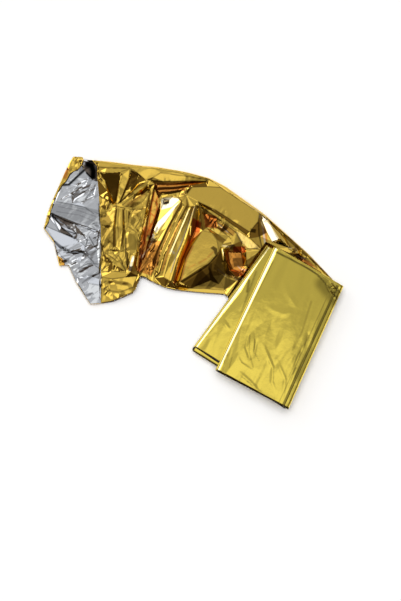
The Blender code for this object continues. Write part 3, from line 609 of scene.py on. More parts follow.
def facets(across, along, cell, seed):
    """Flat triangular facets, from -1 to 1. The points of a triangular lattice have random heights,
    and each triangle between three of them is flat. A coarser lattice of the same kind first
    pushes the places about, so that the facets differ in size and their edges in direction."""
    tables = np.random.default_rng(seed).uniform(-1, 1, (3, LATTICE, LATTICE))

    def lattice(x, y, table):
        skew = (x + y) * (math.sqrt(3) - 1) / 2
        left, low = np.floor(x + skew).astype(int), np.floor(y + skew).astype(int)
        a, b = x + skew - left, y + skew - low
        right, high = (left + 1) % LATTICE, (low + 1) % LATTICE
        left, low = left % LATTICE, low % LATTICE
        near, far = table[left, low], table[right, high]
        third = np.where(a > b, table[right, low], table[left, high])
        return near + (third - near) * np.maximum(a, b) + (far - third) * np.minimum(a, b)

    x, y = across / cell, along / cell
    push_x = lattice(x / PUSH_CELL, y / PUSH_CELL, tables[1])
    push_y = lattice(x / PUSH_CELL, y / PUSH_CELL, tables[2])
    return lattice(x + PUSH * push_x, y + PUSH * push_y, tables[0])


def crumple(points, heading, stretch, seed, sizes=((12, 1.1), (6, 0.75), (3, 0.36))):
    """Creased film, in millimetres: facets of several sizes added up, each size (cell, rise) in
    millimetres. The facets are stretch times longer along heading than across it."""
    turn = math.radians(heading)
    along = (points[..., 0] * math.cos(turn) + points[..., 1] * math.sin(turn)) / stretch
    across = points[..., 1] * math.cos(turn) - points[..., 0] * math.sin(turn)
    return sum(
        rise * facets(across, along, cell * MM, seed + step)
        for step, (cell, rise) in enumerate(sizes)
    )


PLAIN_WEIGHT = 0.08  # of film that is near no spot
PLAIN_CRUMPLE = 0.008  # that weight, times a tenth of the full crumple


def crumple_share(points, spots):
    """The share of crumple at each point: the spots' own shares, weighted by how near each is."""
    total = np.full(points.shape[:-1], PLAIN_CRUMPLE)
    weights = np.full(points.shape[:-1], PLAIN_WEIGHT)
    for spot in spots:
        centre = plan(spot.x, spot.y)
        reach = np.array([spot.reach_x * UNIT_ACROSS, spot.reach_y * UNIT_DEEP])
        weight = np.exp(-np.sum(((points - centre) / reach) ** 2, axis=-1))
        total = total + weight * spot.share
        weights = weights + weight
    return total / weights


def beyond_packet(points):
    """How far each point lies outside the packet's outline, in metres, and nothing inside it."""
    corners = plan(*np.array(PACKET_OUTLINE).T)
    sides = np.roll(corners, -1, axis=0) - corners
    outward = np.stack([-sides[:, 1], sides[:, 0]], axis=1)
    outward /= np.linalg.norm(outward, axis=1)[:, None]
    return np.maximum(0, np.max([(points - c) @ n for c, n in zip(corners, outward)], axis=0))


def inside_outline(points, outline):
    """Whether each point lies inside a closed outline: a line from it then crosses the outline an
    odd number of times."""
    inside = np.zeros(points.shape[:-1], bool)
    for (x_0, y_0), (x_1, y_1) in zip(outline, outline[1:]):
        spans = (y_0 > points[..., 1]) != (y_1 > points[..., 1])
        share = (points[..., 1] - y_0) / (y_1 - y_0 or 1)
        inside ^= spans & (points[..., 0] < x_0 + share * (x_1 - x_0))
    return inside


def quads(index):
    """The four-cornered faces of a grid of vertex numbers. They face up where the grid's lines
    follow each other towards the reader and each line runs to the right."""
    corners = [index[:-1, :-1], index[1:, :-1], index[1:, 1:], index[:-1, 1:]]
    return np.stack(corners, axis=-1).reshape(-1, 4).tolist()


CREASE_STEP = 0.65 * MM  # between the mesh's points along a crease
CREASE_CLEAR = 0.36 * MM  # no other point lies this close to a crease
SAME_POINT = 1e-7  # the mesh's points that are this close, in metres, are one


def joined_along(grid, strip, creases):
    """Film over a grid of plan points, as its points and faces. The grid's first lines, strip of
    them, are joined in quads. The others are joined in triangles whose edges run along the
    creases, so that a crease is sharp and the film between creases is flat."""
    lines, across = grid.shape[:2]
    inner = grid[strip:].reshape(-1, 2)
    index = np.arange(len(inner)).reshape(lines - strip, across)
    rim = np.concatenate([index[0], index[1:, -1], index[-1, -2::-1], index[-2:0:-1, 0]])
    outline = inner[np.append(rim, rim[0])]
    clear = np.ones(len(inner), bool)
    on_crease, pairs = [], []
    for crease in creases:
        x, y, height = np.array(crease.places, float).T
        path = plan(x, y + height * VIEW_LEAN)
        clear &= beside(inner, path) > CREASE_CLEAR
        for start, end in zip(path, path[1:]):
            steps = max(1, round(float(np.linalg.norm(end - start)) / CREASE_STEP))
            numbers = len(inner) + sum(map(len, on_crease)) + np.arange(steps + 1)
            pairs.append(np.stack([numbers[:-1], numbers[1:]], axis=1))
            on_crease.append(start + np.linspace(0, 1, steps + 1)[:, None] * (end - start))
    clear[rim] = True
    on_crease, pairs = np.concatenate(on_crease), np.concatenate(pairs)
    fits = inside_outline(on_crease, outline) & (beside(on_crease, outline) > CREASE_CLEAR)
    kept = np.concatenate([clear, fits])
    pairs = pairs[kept[pairs].all(axis=1)]
    pairs = np.concatenate([np.stack([rim, np.roll(rim, -1)], axis=1), pairs])
    number = np.cumsum(kept) - 1
    spots = np.concatenate([inner, on_crease])[kept]
    corners, _, triangles, came_from, _, _ = mathutils.geometry.delaunay_2d_cdt(
        [Vector(spot) for spot in spots], number[pairs].tolist(), [], 1, SAME_POINT
    )
    became = np.zeros(len(spots), int)
    for new, sources in enumerate(came_from):
        became[sources] = new
    first = strip * across
    table = np.arange(first).reshape(strip, across)
    table = np.concatenate([table, first + became[number[index[:1]]]])
    faces = quads(table) + [[first + corner for corner in triangle] for triangle in triangles]
    return np.concatenate([grid[:strip].reshape(-1, 2), np.array(corners)]), faces


NEAR_FLAT = 0.991  # the mean of the normals where film counts as flat
SHARP_BEND_DROP = 0.08  # how much less it is at a sharp crease


def bend_sharpness(points, faces):
    """How sharply film is bent at each point, from 0 where it is near flat to 1 at a sharp crease.
    It comes from the length of the mean of the normals of the faces there, which is 1 where they
    all look one way."""
    joined = [(face[0], *face[step : step + 2]) for face in faces for step in range(1, len(face) - 1)]
    joined = np.array(joined)
    first, second, third = (points[joined[:, corner]] for corner in range(3))
    normals = np.cross(second - first, third - first)
    normals /= np.maximum(np.linalg.norm(normals, axis=1), 1e-12)[:, None]
    total, count = np.zeros(points.shape), np.zeros(len(points))
    for corner in range(3):
        np.add.at(total, joined[:, corner], normals)
        np.add.at(count, joined[:, corner], 1)
    mean = np.linalg.norm(total, axis=1) / np.maximum(count, 1)
    return np.clip((NEAR_FLAT - mean) / SHARP_BEND_DROP, 0, 1)


def eased(share):
    """0 to 1 as share goes from 0 to 1, level at both ends."""
    share = np.clip(share, 0, 1)
    return share * share * (3 - 2 * share)


LINE_TOPS = plan([line.top_x for line in STRIP_LINES], [line.top_y for line in STRIP_LINES])
LINE_LOWS = plan([line.low_x for line in STRIP_LINES], [line.low_y for line in STRIP_LINES])
LINE_RUNS = np.concatenate(
    [[0], np.cumsum(np.linalg.norm(np.diff((LINE_TOPS + LINE_LOWS) / 2, axis=0), axis=1))]
)
TURN_SPREAD = np.array([-3, -1.5, 0, 1.5, 3]) * MM


def cross_lines(run):
    """The two ends of the strip's cross line at each distance along its middle, in metres. The
    outline turns over a few millimetres at each of STRIP_LINES, not in a corner: each end is the
    mean of the ends at TURN_SPREAD round it."""
    near = np.clip(run[:, None] + TURN_SPREAD, LINE_RUNS[0], LINE_RUNS[-1])
    ends = []
    for places in (LINE_TOPS, LINE_LOWS):
        axes = [np.interp(near, LINE_RUNS, places[:, axis]).mean(axis=1) for axis in (0, 1)]
        ends.append(np.stack(axes, axis=-1))
    return ends


def run_at(name):
    """How far along the strip's middle one of STRIP_LINES lies, in metres."""
    return LINE_RUNS[[line.name for line in STRIP_LINES].index(name)]


def end_curve(rows, share):
    """The place of a ply's left-hand end at each share of the width."""
    xs = np.interp(share, [row.share for row in rows], [row.x for row in rows])
    ys = np.interp(share, [row.share for row in rows], [row.y for row in rows])
    return plan(xs, ys)


EDGE_ROUND = 4.0  # radius of the folded edge where the sleeve is open, in millimetres
EDGE_PRESSED = 0.75  # and under the packet
PRESSED_HEIGHT = 2.0  # of the sleeve under the packet, in millimetres
PRESSED_MARGIN = 1.1  # it rises from that over this many millimetres outside the packet
UNDERSIDE = 0.3  # height, in millimetres, at which the fold turns under
LINE_SHADE_AND_WEAR = 0.9  # how dark the creases' own lines are painted, as shade with some scuffing
BEND_SHADE_AND_WEAR = 0.62  # and the sharp edges of the small crumples


def upper_ply(runs, rows):
    """The upper ply's points, faces and marks. It starts as a grid of cross lines, each at one
    distance along the strip; below 0 that is a share of the way out to the cut end. A row of the
    grid goes by its angle round the folded edge, from -90 degrees under it to 90 degrees over it,
    and then by its share of the flat."""
    angle, flat = (values[:, None] for values in rows)
    tops, lows = cross_lines(np.maximum(runs, 0))
    width = np.linalg.norm(lows - tops, axis=1)
    loose = eased(beyond_packet(tops) / (PRESSED_MARGIN * MM))
    rounding = (EDGE_PRESSED + (EDGE_ROUND - EDGE_PRESSED) * loose) * MM
    share = (rounding * (1 - np.cos(angle)) + (width - rounding) * flat) / width
    grid = tops + (lows - tops) * share[..., None]
    grid = grid + (end_curve(UPPER_END, share) - grid) * np.clip(-runs, 0, 1)[:, None]
    strip = np.count_nonzero(flat == 0) - 1
    points, faces = joined_along(grid, strip, UPPER_CREASES)
    side = np.ones(len(points))
    side[: strip * len(runs)] = np.repeat(np.sin(angle[:strip]), len(runs))

    lines = crease_lines(points, UPPER_CREASES)
    top = creased(points, UPPER_CREASES)
    small = crumple(points, heading=250, stretch=1.8, seed=11)
    top = top + crumple_share(points, UPPER_CRUMPLE) * small
    top = top + marked(points, top, UPPER_SWELLS)
    # Painted light and shade in the film's colour: dark for crease lines and facets that would mirror
    # something dark, warm for painted reflections of gold walls, pale for painted highlights.
    marks = {
        "dark": np.maximum(LINE_SHADE_AND_WEAR * lines, marked(points, top, UPPER_DARK)),
        "warm": marked(points, top, UPPER_WARM),
        "pale": marked(points, top, UPPER_PALE),
    }
    free = eased(beyond_packet(points) / (PRESSED_MARGIN * MM))
    top = PRESSED_HEIGHT + (top - PRESSED_HEIGHT) * free
    height = (top + UNDERSIDE) / 2 + (top - UNDERSIDE) / 2 * side
    points = np.column_stack([points, height * MM])
    # Painted shade along the sharp edges of the small crumples, with some scuffing.
    marks["dark"] = np.maximum(marks["dark"], BEND_SHADE_AND_WEAR * bend_sharpness(points, faces) * (side == 1))
    return points, faces, marks


def ply_rows(round_rows, flat_rows):
    """Row angles and shares of the flat, from under the folded edge to the open edge."""
    angle = np.radians(np.linspace(-90, 90, round_rows))
    angle = np.concatenate([angle, np.full(flat_rows, math.pi / 2)])
    flat = np.concatenate([np.zeros(round_rows), np.arange(1, flat_rows + 1) / flat_rows])
    return angle, flat


def linear(colour):
    """An sRGB hex colour as linear RGBA."""
    parts = [int(colour[i : i + 2], 16) / 255 for i in (1, 3, 5)]
    return [c / 12.92 if c <= 0.04045 else ((c + 0.055) / 1.055) ** 2.4 for c in parts] + [1]


def add(tree, kind, links=(), **settings):
    """Adds a node. settings are its properties, and links its sockets' values: a number or colour
    to set, or another node's output to join."""
    node = tree.nodes.new(kind)
    for name, value in settings.items():
        setattr(node, name, value)
    for name, value in dict(links).items():
        if isinstance(value, bpy.types.NodeSocket):
            tree.links.new(value, node.inputs[name])
        else:
            node.inputs[name].default_value = value
    return node


GLARE = "#FFFAE4"  # the colour that a painted highlight takes film to, where it would mirror a lamp
WAVE_LENGTH = 9 * MM  # of the soft waves that film keeps between its creases
WAVE_HEIGHT = 2 * MM
WAVE_STRENGTH = 0.06


def metallised_film(name, colour, roughness, shade_and_wear_colour, painted_reflection_colour):
    """Metallised polyester film: a vacuum-deposited metal layer as smooth as a mirror, on film too thin
    to lie smooth. Three attributes paint light and shade into its colour: dark takes it to the dark
    colour, painted shade along creases, with some scuffing there, and where it would mirror something
    dark; warm takes it to the orange colour, a painted reflection where two walls of film would mirror
    each other; and pale takes it to GLARE, a painted highlight where it would mirror a lamp."""
    material = bpy.data.materials.new(name)
    material.use_nodes = True
    tree = material.node_tree
    shader = tree.nodes["Principled BSDF"]
    shader.inputs["Metallic"].default_value = 1
    shader.inputs["Roughness"].default_value = roughness
    colour = linear(colour)
    # Light and shade painted into the colour: warm mixes in the painted reflection's orange, pale the
    # painted highlight, dark the painted shade.
    for mark, other in (("warm", painted_reflection_colour), ("pale", GLARE), ("dark", shade_and_wear_colour)):
        share = add(tree, "ShaderNodeAttribute", attribute_name=mark).outputs["Fac"]
        mix = {0: share, 6: colour, 7: linear(other)}
        colour = add(tree, "ShaderNodeMix", mix, data_type="RGBA").outputs[2]
    tree.links.new(colour, shader.inputs["Base Color"])
    place = add(tree, "ShaderNodeTexCoord")
    soft = add(
        tree,
        "ShaderNodeTexNoise",
        {"Vector": place.outputs["Object"], "Scale": 1 / WAVE_LENGTH, "Detail": 3.0},
    )
    bump = add(
        tree,
        "ShaderNodeBump",
        {"Height": soft.outputs["Fac"], "Strength": WAVE_STRENGTH, "Distance": WAVE_HEIGHT},
    )
    tree.links.new(bump.outputs["Normal"], shader.inputs["Normal"])
    return material


gold_film = metallised_film(
    "gold_metallised_film", colour="#FAD25E", roughness=0.07, shade_and_wear_colour="#3A2410", painted_reflection_colour="#D4501C"
)
silver_film = metallised_film(
    "silver_metallised_film", colour="#E4E7EC", roughness=0.08, shade_and_wear_colour="#121316", painted_reflection_colour="#F2B06A"
)
FILM_THICKNESS = 0.12 * MM  # a few films together; one is a tenth of that
SHARP_CREASE = math.radians(25)  # faces that meet at more than this are shaded apart


def film_sheet(name, points, faces, marks, flat, films=(gold_film, silver_film)):
    """One sheet of film: gold on the side that its faces look from, silver on the other, with the
    film's thickness. marks are the points' shares of each mark, and flat is the sheet's size before it
    was folded, in metres; flat is not used."""
    mesh = bpy.data.meshes.new(name)
    mesh.from_pydata(points.reshape(-1, 3).tolist(), [], faces)
    mesh.polygons.foreach_set("use_smooth", np.ones(len(faces), bool))
    mesh.set_sharp_from_angle(angle=SHARP_CREASE)
    for mark, values in marks.items():
        mesh.attributes.new(mark, "FLOAT", "POINT").data.foreach_set("value", np.ravel(values))
    for film in films:
        mesh.materials.append(film)
    piece = bpy.data.objects.new(name, mesh)
    bpy.context.scene.collection.objects.link(piece)
    thickness = piece.modifiers.new("film", "SOLIDIFY")
    thickness.thickness = FILM_THICKNESS
    thickness.offset = -1
    thickness.material_offset = 1
    thickness.material_offset_rim = 0
    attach(piece, "root")
    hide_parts("foil_blanket")


END_LINES = 18  # cross lines between the cut end and the mouth
OPEN_PITCH = 0.76 * MM  # between cross lines as far as the packet
PRESSED_PITCH = 4 * MM  # and under it
END_REACH = 12 * MM  # film between the mouth and the cut end
FOLD_REACH = 10 * MM  # film that the round far edge takes up

ROWS = ply_rows(round_rows=12, flat_rows=156)
MOUTH, UNDER, FOLD = run_at("mouth"), run_at("under_packet"), run_at("first_fold")
RUNS = np.concatenate(
    [
        np.linspace(-1, 0, END_LINES)[:-1],
        np.linspace(MOUTH, UNDER, round((UNDER - MOUTH) / OPEN_PITCH) + 1),
        np.linspace(UNDER, FOLD, round((FOLD - UNDER) / PRESSED_PITCH) + 1)[1:],
    ]
)
film_sheet("upper_ply", *upper_ply(RUNS, ROWS), (FOLD + END_REACH, STRIP_WIDTH + FOLD_REACH))

# ------------------------------------------------------------------------------------------------
# The lower ply: the same film, lying on the surface under the sleeve. It reaches further left than
# the upper ply does, and there it shows its silver side. Its left-hand edge is turned over, so that
# a narrow hem shows gold.
# ------------------------------------------------------------------------------------------------

# The ragged left-hand end of the ply.
LOWER_END = [
    EdgePoint(0.00, 70, 153.6),
    EdgePoint(0.04, 66.3, 159.5),
    EdgePoint(0.13, 60.5, 172),
    EdgePoint(0.20, 56.5, 182),
    EdgePoint(0.31, 50, 198),
    EdgePoint(0.42, 45, 212),
    EdgePoint(0.52, 41.5, 228),
    EdgePoint(0.60, 52.3, 242.5),
    EdgePoint(0.74, 58.3, 266),
    EdgePoint(0.78, 67.5, 265.5),
    EdgePoint(0.86, 75.7, 283),
    EdgePoint(0.97, 90, 304.5),
    EdgePoint(1.00, 100, 304),
]
# The hem's width at each share of the strip's, on the drawing.
HEM_SHARES = [0, 0.03, 0.065, 0.095, 0.11, 0.13, 0.18, 0.215, 0.25]
HEM_SHARES += [0.31, 0.42, 0.48, 0.52, 0.68, 0.7, 0.735, 0.75, 1]
HEM_WIDTHS = [9, 14, 15, 13.5, 8.5, 6.5, 5.5, 3, 2, 2, 3, 3.5, 1, 0.3, 5, 6, 0.3, 0.3]
# The main creases of its silver side, and flat film all round, so that every point has a height.
LOWER_CREASES = [
    Crease("lining_far_edge", [(70, 153.6, 3), (77, 156.5, 5), (84, 158.6, 9), (97, 159.5, 9)]),
    Crease("lining_left_edge", [(56, 180, 1), (49, 200, 1), (43.5, 215, 1), (40.5, 228, 1)], 0),
    Crease("lining_near_edge", [
        (40.5, 228, 1), (52.3, 242.5, 1), (58.3, 266, 0.5), (67.5, 265.5, 1), (75.7, 283, 1),
        (90, 304.5, 1), (100, 305, 1),
    ]),
    Crease("mouth_floor", [
        (60, 182.5, 1.2), (66, 182, 1.4), (75, 173, 1.6), (81, 167.5, 1.8), (90, 177.5, 1.4),
        (95, 179, 1.6),
    ], 0.6),
    Crease("streak_0_foot", [(72.9, 182.3, 1.5), (84.9, 174.8, 1.5)], 0.2),
    Crease("streak_0", [(74, 184, 2.3), (86, 176.5, 2.3)], 0.2),
    Crease("streak_1", [(69, 193, 2.5), (84, 183.5, 2.5)], 0.4),
    Crease("streak_1_foot", [(67.9, 191.3, 1.6), (82.9, 181.8, 1.6)], 0.5),
    Crease("streak_2", [(73, 198.5, 2.5), (87.5, 189, 2.5)], 0.4),
    Crease("streak_2_foot", [(71.9, 196.8, 1.6), (86.4, 187.3, 1.6)], 0.5),
    Crease("streak_3", [(80, 202.5, 2.6), (92, 194.5, 2.6)], 0.4),
    Crease("streak_3_foot", [(78.9, 200.8, 1.7), (90.9, 192.8, 1.7)], 0.5),
    Crease("band_far", [(53.5, 200, 2.5), (70, 203, 3.2), (84, 206, 3.5), (98, 213.5, 3.5)]),
    Crease("band_near", [(48, 211, 1.5), (72, 221, 2), (98, 230.5, 2.2)]),
    Crease("band_near_line", [(49, 212.5, 2.6), (73, 223, 3.2), (97, 232.5, 3.2)]),
    Crease("fan_floor_1", [(50, 214.5, 1), (62, 223, 1), (76, 233, 1)]),
    Crease("fan_crest_1", [(49.5, 216, 2.6), (60, 226, 3), (73, 237, 3)]),
    Crease("fan_floor_2", [(49, 219, 1), (58, 230, 1)]),
    Crease("pale_far", [(43.5, 225, 0.8), (58, 231.5, 1.0), (75, 238.5, 1.2), (84, 246, 1.4)]),
    Crease("pale_near", [(52.2, 239.3, 3.2), (60, 245.5, 4.2), (70, 250.5, 4.6), (84, 250.5, 4.6)]),
    Crease("below_pale", [(53.2, 241.4, 0.8), (60, 247.4, 0.8), (70, 252.4, 1.0), (82, 252.6, 1)]),
    Crease("grey_panel", [(60, 256, 2.2), (68, 262, 1.8)]),
    Crease("knot", [
        (86, 237, 3), (90, 243, 1.2), (95, 237, 2.8), (96, 250, 1.2), (89, 255, 3.4), (80, 262, 3),
    ]),
    Crease("tail_ridge", [(80, 262, 3), (90, 262, 3.2), (98, 268, 2.8)]),
    Crease("tail_floor", [(77, 277, 0.8), (88, 276, 1.0), (99, 279, 1.0)], 0.2),
    Crease("tail_crescent", [(80, 286.5, 2.6), (89, 283, 3.2), (99, 285, 3.0)], 0.2),
    Crease("tail_last", [(87, 299, 1.0), (94, 298, 1.0), (99.5, 298, 1.0)], 0.2),
    Crease("hidden", [(104, 160, 3.4), (104, 215, 3), (104, 306, 2.2)]),
    Crease("surround_far", [(20, 120, 1), (420, 120, 0.5)]),
    Crease("surround_near", [(20, 460, 1), (420, 460, 0.5)]),
]
# How crumpled each part of it is.
LOWER_CRUMPLE = [
    Spot("hole", 88, 167, 6, 8, 0.05),
    Spot("lining_top", 77, 189, 14, 9, 0.75),
    Spot("lining_band", 75, 213, 20, 6, 0.12),
    Spot("lining_middle", 88, 238, 12, 9, 1.1),
    Spot("lining_pale", 60, 239, 12, 5, 0.05),
    Spot("lining_low", 66, 255, 9, 5, 0.8),
    Spot("lining_foot", 88, 280, 12, 16, 0.5),
]
# Painted shade on the silver side: dark lines along its creases and streaks, places painted dark where
# they would mirror something dark, and painted shadows in the hole and under the flap.
LOWER_DARK = [
    Mark("flat_band", [(50, 201), (70, 202), (99, 209), (99, 228), (75, 221), (49, 211.5)], 0, 0.3),
    Mark("band_streak_1", [(56, 205), (76, 209), (96, 216)], 1.0, 0.5),
    Mark("band_streak_2", [(54, 210), (78, 214), (97, 222)], 1.0, 0.5),
    Mark("band_streak_3", [(68, 204.5), (88, 209), (97, 212.5)], 0.9, 0.45),
    Mark("knot_streak_1", [(80, 232), (86, 240), (84, 249)], 0.9, 0.7),
    Mark("knot_streak_2", [(88, 236), (93, 245), (97, 249)], 0.9, 0.7),
    Mark("knot_streak_3", [(78, 250), (86, 255), (93, 262)], 0.9, 0.65),
    Mark("foot_streak_1", [(78, 268), (88, 263), (98, 264)], 1.0, 0.5),
    Mark("foot_streak_2", [(82, 283), (90, 276), (98, 274)], 1.2, 0.5),
    Mark("grey_band", [(54, 206), (72, 212), (97, 221)], 8.5, 0.16),
    Mark("grey_triangle", [(80, 279), (91, 277)], 5.0, 0.25),
    Mark("hole", [(85.5, 161.5), (89, 162.5), (91, 168), (90.5, 174)], 5.4, 1.0),
    Mark("hole_foot", [(84, 170), (89, 175)], 1.6, 1.0),
    Mark("under_flap", [(60, 182.5), (66, 182), (70, 178), (75, 173), (81, 167.5)], 1.9, 1.0),
    Mark("pleat_1", [(49, 213.5), (58, 231)], 1.2, 0.8),
    Mark("pleat_2", [(49.5, 212.5), (61, 228)], 1.2, 0.9),
    Mark("pleat_3", [(50, 212), (62, 219), (76, 224)], 1.1, 0.9),
    Mark("band_edge", [(82, 205.5), (92, 212)], 0.9, 0.7),
    Mark("pleat_4", [(62, 229), (74, 233)], 1.4, 0.8),
    Mark("fleck_1", [(86, 228), (89, 228.5)], 1.2, 0.9),
    Mark("fleck_2", [(66, 227), (68, 228)], 1.0, 0.9),
]
# Painted reflection: where the gold hem would mirror itself.
LOWER_WARM = [
    Mark("flap_side", [(64, 166), (62, 174)], 3.5, 0.6),
    Mark("tab", [(60, 258), (63, 264)], 4.0, 0.4),
]

LOWER_LIFT = 0.3  # of the whole ply off the surface, in millimetres
CRUMPLE_LIFT = 0.5  # of its crumpled parts, in millimetres
LOWER_SIZES = ((8, 0.9), (4, 0.5), (2, 0.2))  # cell and rise of its small crumples
CLEAR_BELOW = 0.7  # the ply stays this many millimetres below the sleeve's cut end
CLEAR_OUT, CLEAR_RISE = 0.8, 2  # past so many millimetres out, it may rise so steeply
FLAT_HEIGHT = 0.2  # of the ply where it is flat under the sleeve, in millimetres
FADE_IN, FADE_REACH = 1.5, 4  # where, inside the mouth, its relief starts to fade, and over what
HEM_TURN = 0.2  # the share of the hem's width on which it turns over
HEM_LIFT, HEM_RISE, HEM_CELL = 1.2, 0.9, 7 * MM  # its height, and the facets it is crumpled in
LOWER_LINE_SHADE_AND_WEAR, LOWER_BEND_SHADE_AND_WEAR = 0.85, 0.5  # how dark its creases and small crumples are painted, as shade with some scuffing


def lower_ply(runs, shares):
    """The lower ply's points, faces and marks, silver side up. It starts as a grid of lines across
    the strip, from its left-hand end to under the packet. Those below -1 are the hem, turned back
    over the end with its gold side up."""
    tops, lows = cross_lines(np.maximum(runs, 0))
    grid = tops[:, None] + (lows - tops)[:, None] * shares[:, None]
    grid = grid + (end_curve(LOWER_END, shares) - grid) * np.clip(-runs, 0, 1)[:, None, None]
    hem = np.clip(-runs - 1, 0, 1)
    grid[..., 0] += hem[:, None] * np.interp(shares, HEM_SHARES, HEM_WIDTHS) * UNIT_ACROSS
    strip = np.count_nonzero(hem)
    points, faces = joined_along(grid, strip, LOWER_CREASES)
    turned = np.zeros(len(points))
    turned[: strip * len(shares)] = np.repeat(hem[:strip], len(shares))

    cut_end = next(crease for crease in UPPER_CREASES if crease.name == "cut_end")
    x, y, height = np.array(cut_end.places).T
    end = plan(x, y + height * VIEW_LEAN)
    left = np.interp(-points[:, 1], -end[:, 1], end[:, 0]) - points[:, 0]
    ceiling = np.interp(-points[:, 1], -end[:, 1], height) - CLEAR_BELOW
    ceiling = ceiling + CLEAR_RISE * np.maximum(0, left / MM - CLEAR_OUT)
    fade = np.clip(1 + (left / MM + FADE_IN) / FADE_REACH, 0, 1)
    lines = crease_lines(points, LOWER_CREASES) * (turned == 0)
    height = creased(points, LOWER_CREASES)
    small = CRUMPLE_LIFT + crumple(points, heading=30, stretch=2.6, seed=31, sizes=LOWER_SIZES)
    height = height + LOWER_LIFT + crumple_share(points, LOWER_CRUMPLE) * small
    hem_height = HEM_LIFT + HEM_RISE * facets(points[:, 0], points[:, 1], HEM_CELL, seed=41)
    height = height + np.sqrt(np.clip(turned / HEM_TURN, 0, 1)) * hem_height
    dark = marked(points, height, LOWER_DARK) * (turned == 0)
    # Painted shade: dark crease lines, dark places and the shadows of the hole and the flap; warm is a
    # painted reflection on the gold hem.
    marks = {
        "dark": np.maximum(LOWER_LINE_SHADE_AND_WEAR * lines, dark) * fade,
        "warm": marked(points, height, LOWER_WARM) * (turned > 0),
    }
    height = FLAT_HEIGHT + (np.minimum(height, ceiling) - FLAT_HEIGHT) * fade
    faces = [face[::-1] for face in faces]
    points = np.column_stack([points, height * MM])
    # Painted shade along the sharp edges of its small crumples, with some scuffing.
    bends = LOWER_BEND_SHADE_AND_WEAR * bend_sharpness(points, faces) * fade * (turned == 0)
    marks["dark"] = np.maximum(marks["dark"], bends)
    return points, faces, marks


HEM_LINES, SILVER_LINES, HIDDEN_LINES = 12, 106, 40  # cross lines of each stretch of the ply
LOWER_ROWS = 200  # points of each cross line
FOLD_SHARE = 0.004  # the ply stops this share of its width short of the folded edge
LOWER_FLAT = (0.33, 0.13)  # its longest line with what its crumples take up, and the strip's width
LOWER_RUNS = np.concatenate(
    [
        -1 - np.linspace(1, 0.02, HEM_LINES),
        np.linspace(-1, 0, SILVER_LINES)[:-1],
        np.linspace(0, run_at("first_fold"), HIDDEN_LINES),
    ]
)
film_sheet("lower_ply", *lower_ply(LOWER_RUNS, np.linspace(1, FOLD_SHARE, LOWER_ROWS)), LOWER_FLAT)

# ------------------------------------------------------------------------------------------------
# The packet: the part of the strip that has not been pulled open, still folded back and forth into
# flat panels. Two leaves of two panels each, pressed in the pack and now fanned apart a little.
# ------------------------------------------------------------------------------------------------

PLY_PITCH = 1.5  # from one ply of the packet to the next, in millimetres
PACKET_FLOOR = 0.5  # height under its lowest ply, in millimetres
# Each panel, from the fold where it starts to the fold where it ends.
PACKET_PANELS = [
    (Line("a_right", 340, 287, 281, 406), Line("a_left", 269.5, 249, 193.5, 352)),
    (Line("b_left", 269.5, 249, 196, 348.6), Line("b_right", 341, 288, 284, 408)),
    (Line("c_right", 341, 288, 284, 408), Line("c_left", 276.4, 249.3, 217, 373)),
    (Line("d_left", 275.6, 251.0, 217.3, 372.4), Line("d_right", 338, 290, 282, 407)),
]

SHOULDER_SLOPE = math.tan(math.radians(27))
SHOULDER_STEPS = (5, 96)  # how many of a panel's columns are on the shoulder, and how many in all
# The width of each leaf's shoulder at shares of its fold's length, in plan units.
LEFT_WIDTHS = [(0, 0.9), (0.15, 1.0), (0.3, 2.2), (0.42, 4.0), (0.6, 3.0), (0.8, 2.0), (1, 1.3)]
TOP_WIDTHS = [(0, 3.0), (0.12, 3.2), (0.42, 2.6), (0.74, 2.2), (1, 1.9)]
# Painted shade on both leaves: dark lines along creases, wrinkles and edges, and shaded corners.
PACKET_DARK = [
    Mark("beside_top_shoulder", [(272.5, 262), (253, 300), (233, 340), (223, 360)], 0.9, 0.45),
    Mark("left_leaf_streak", [(249, 281), (247, 292)], 2.0, 0.6),
    Mark("left_leaf_line", [(256, 272), (241, 312)], 1.2, 0.35),
    Mark("top_panel_edge", [
        (276, 252), (290, 259), (310, 270), (317, 275), (330, 290), (338, 301),
    ], 1.4, 0.8),
    Mark("dark_corner", [(322, 284), (335, 300)], 11.0, 0.5),
    Mark("corner_crumple_1", [(329, 287), (336, 292), (334, 296)], 1.5, 0.8),
    Mark("corner_crumple_2", [(337, 290), (342, 296)], 1.3, 0.8),
    Mark("long_crease", [(310, 302), (300, 332), (291, 349)], 1.7, 0.26),
    Mark("low_line_1", [(249, 335), (248.2, 351), (252, 366)], 0.8, 0.45),
    Mark("low_line_2", [(254, 339), (253, 351), (258, 360)], 0.7, 0.35),
    Mark("low_line_3", [(227.5, 352.5), (222.5, 366.5), (219.5, 374)], 0.8, 0.45),
    Mark("low_line_4", [(231.4, 356.6), (228.4, 366.5)], 0.7, 0.35),
    Mark("low_line_5", [(239.5, 374), (249.5, 381.5), (259, 391)], 0.7, 0.3),
    Mark("dash_1", [(306.5, 335), (302.5, 344.7)], 0.9, 0.5),
    Mark("dash_2", [(298.6, 350.7), (296.6, 358.6)], 0.9, 0.5),
    Mark("dash_3", [(293.6, 366.5), (290.7, 372.4)], 0.9, 0.55),
    Mark("dash_4", [(300, 345), (287, 375)], 0.7, 0.3),
    Mark("right_edge", [(342, 296), (330, 320), (310, 360), (287, 410)], 1.3, 0.8),
]
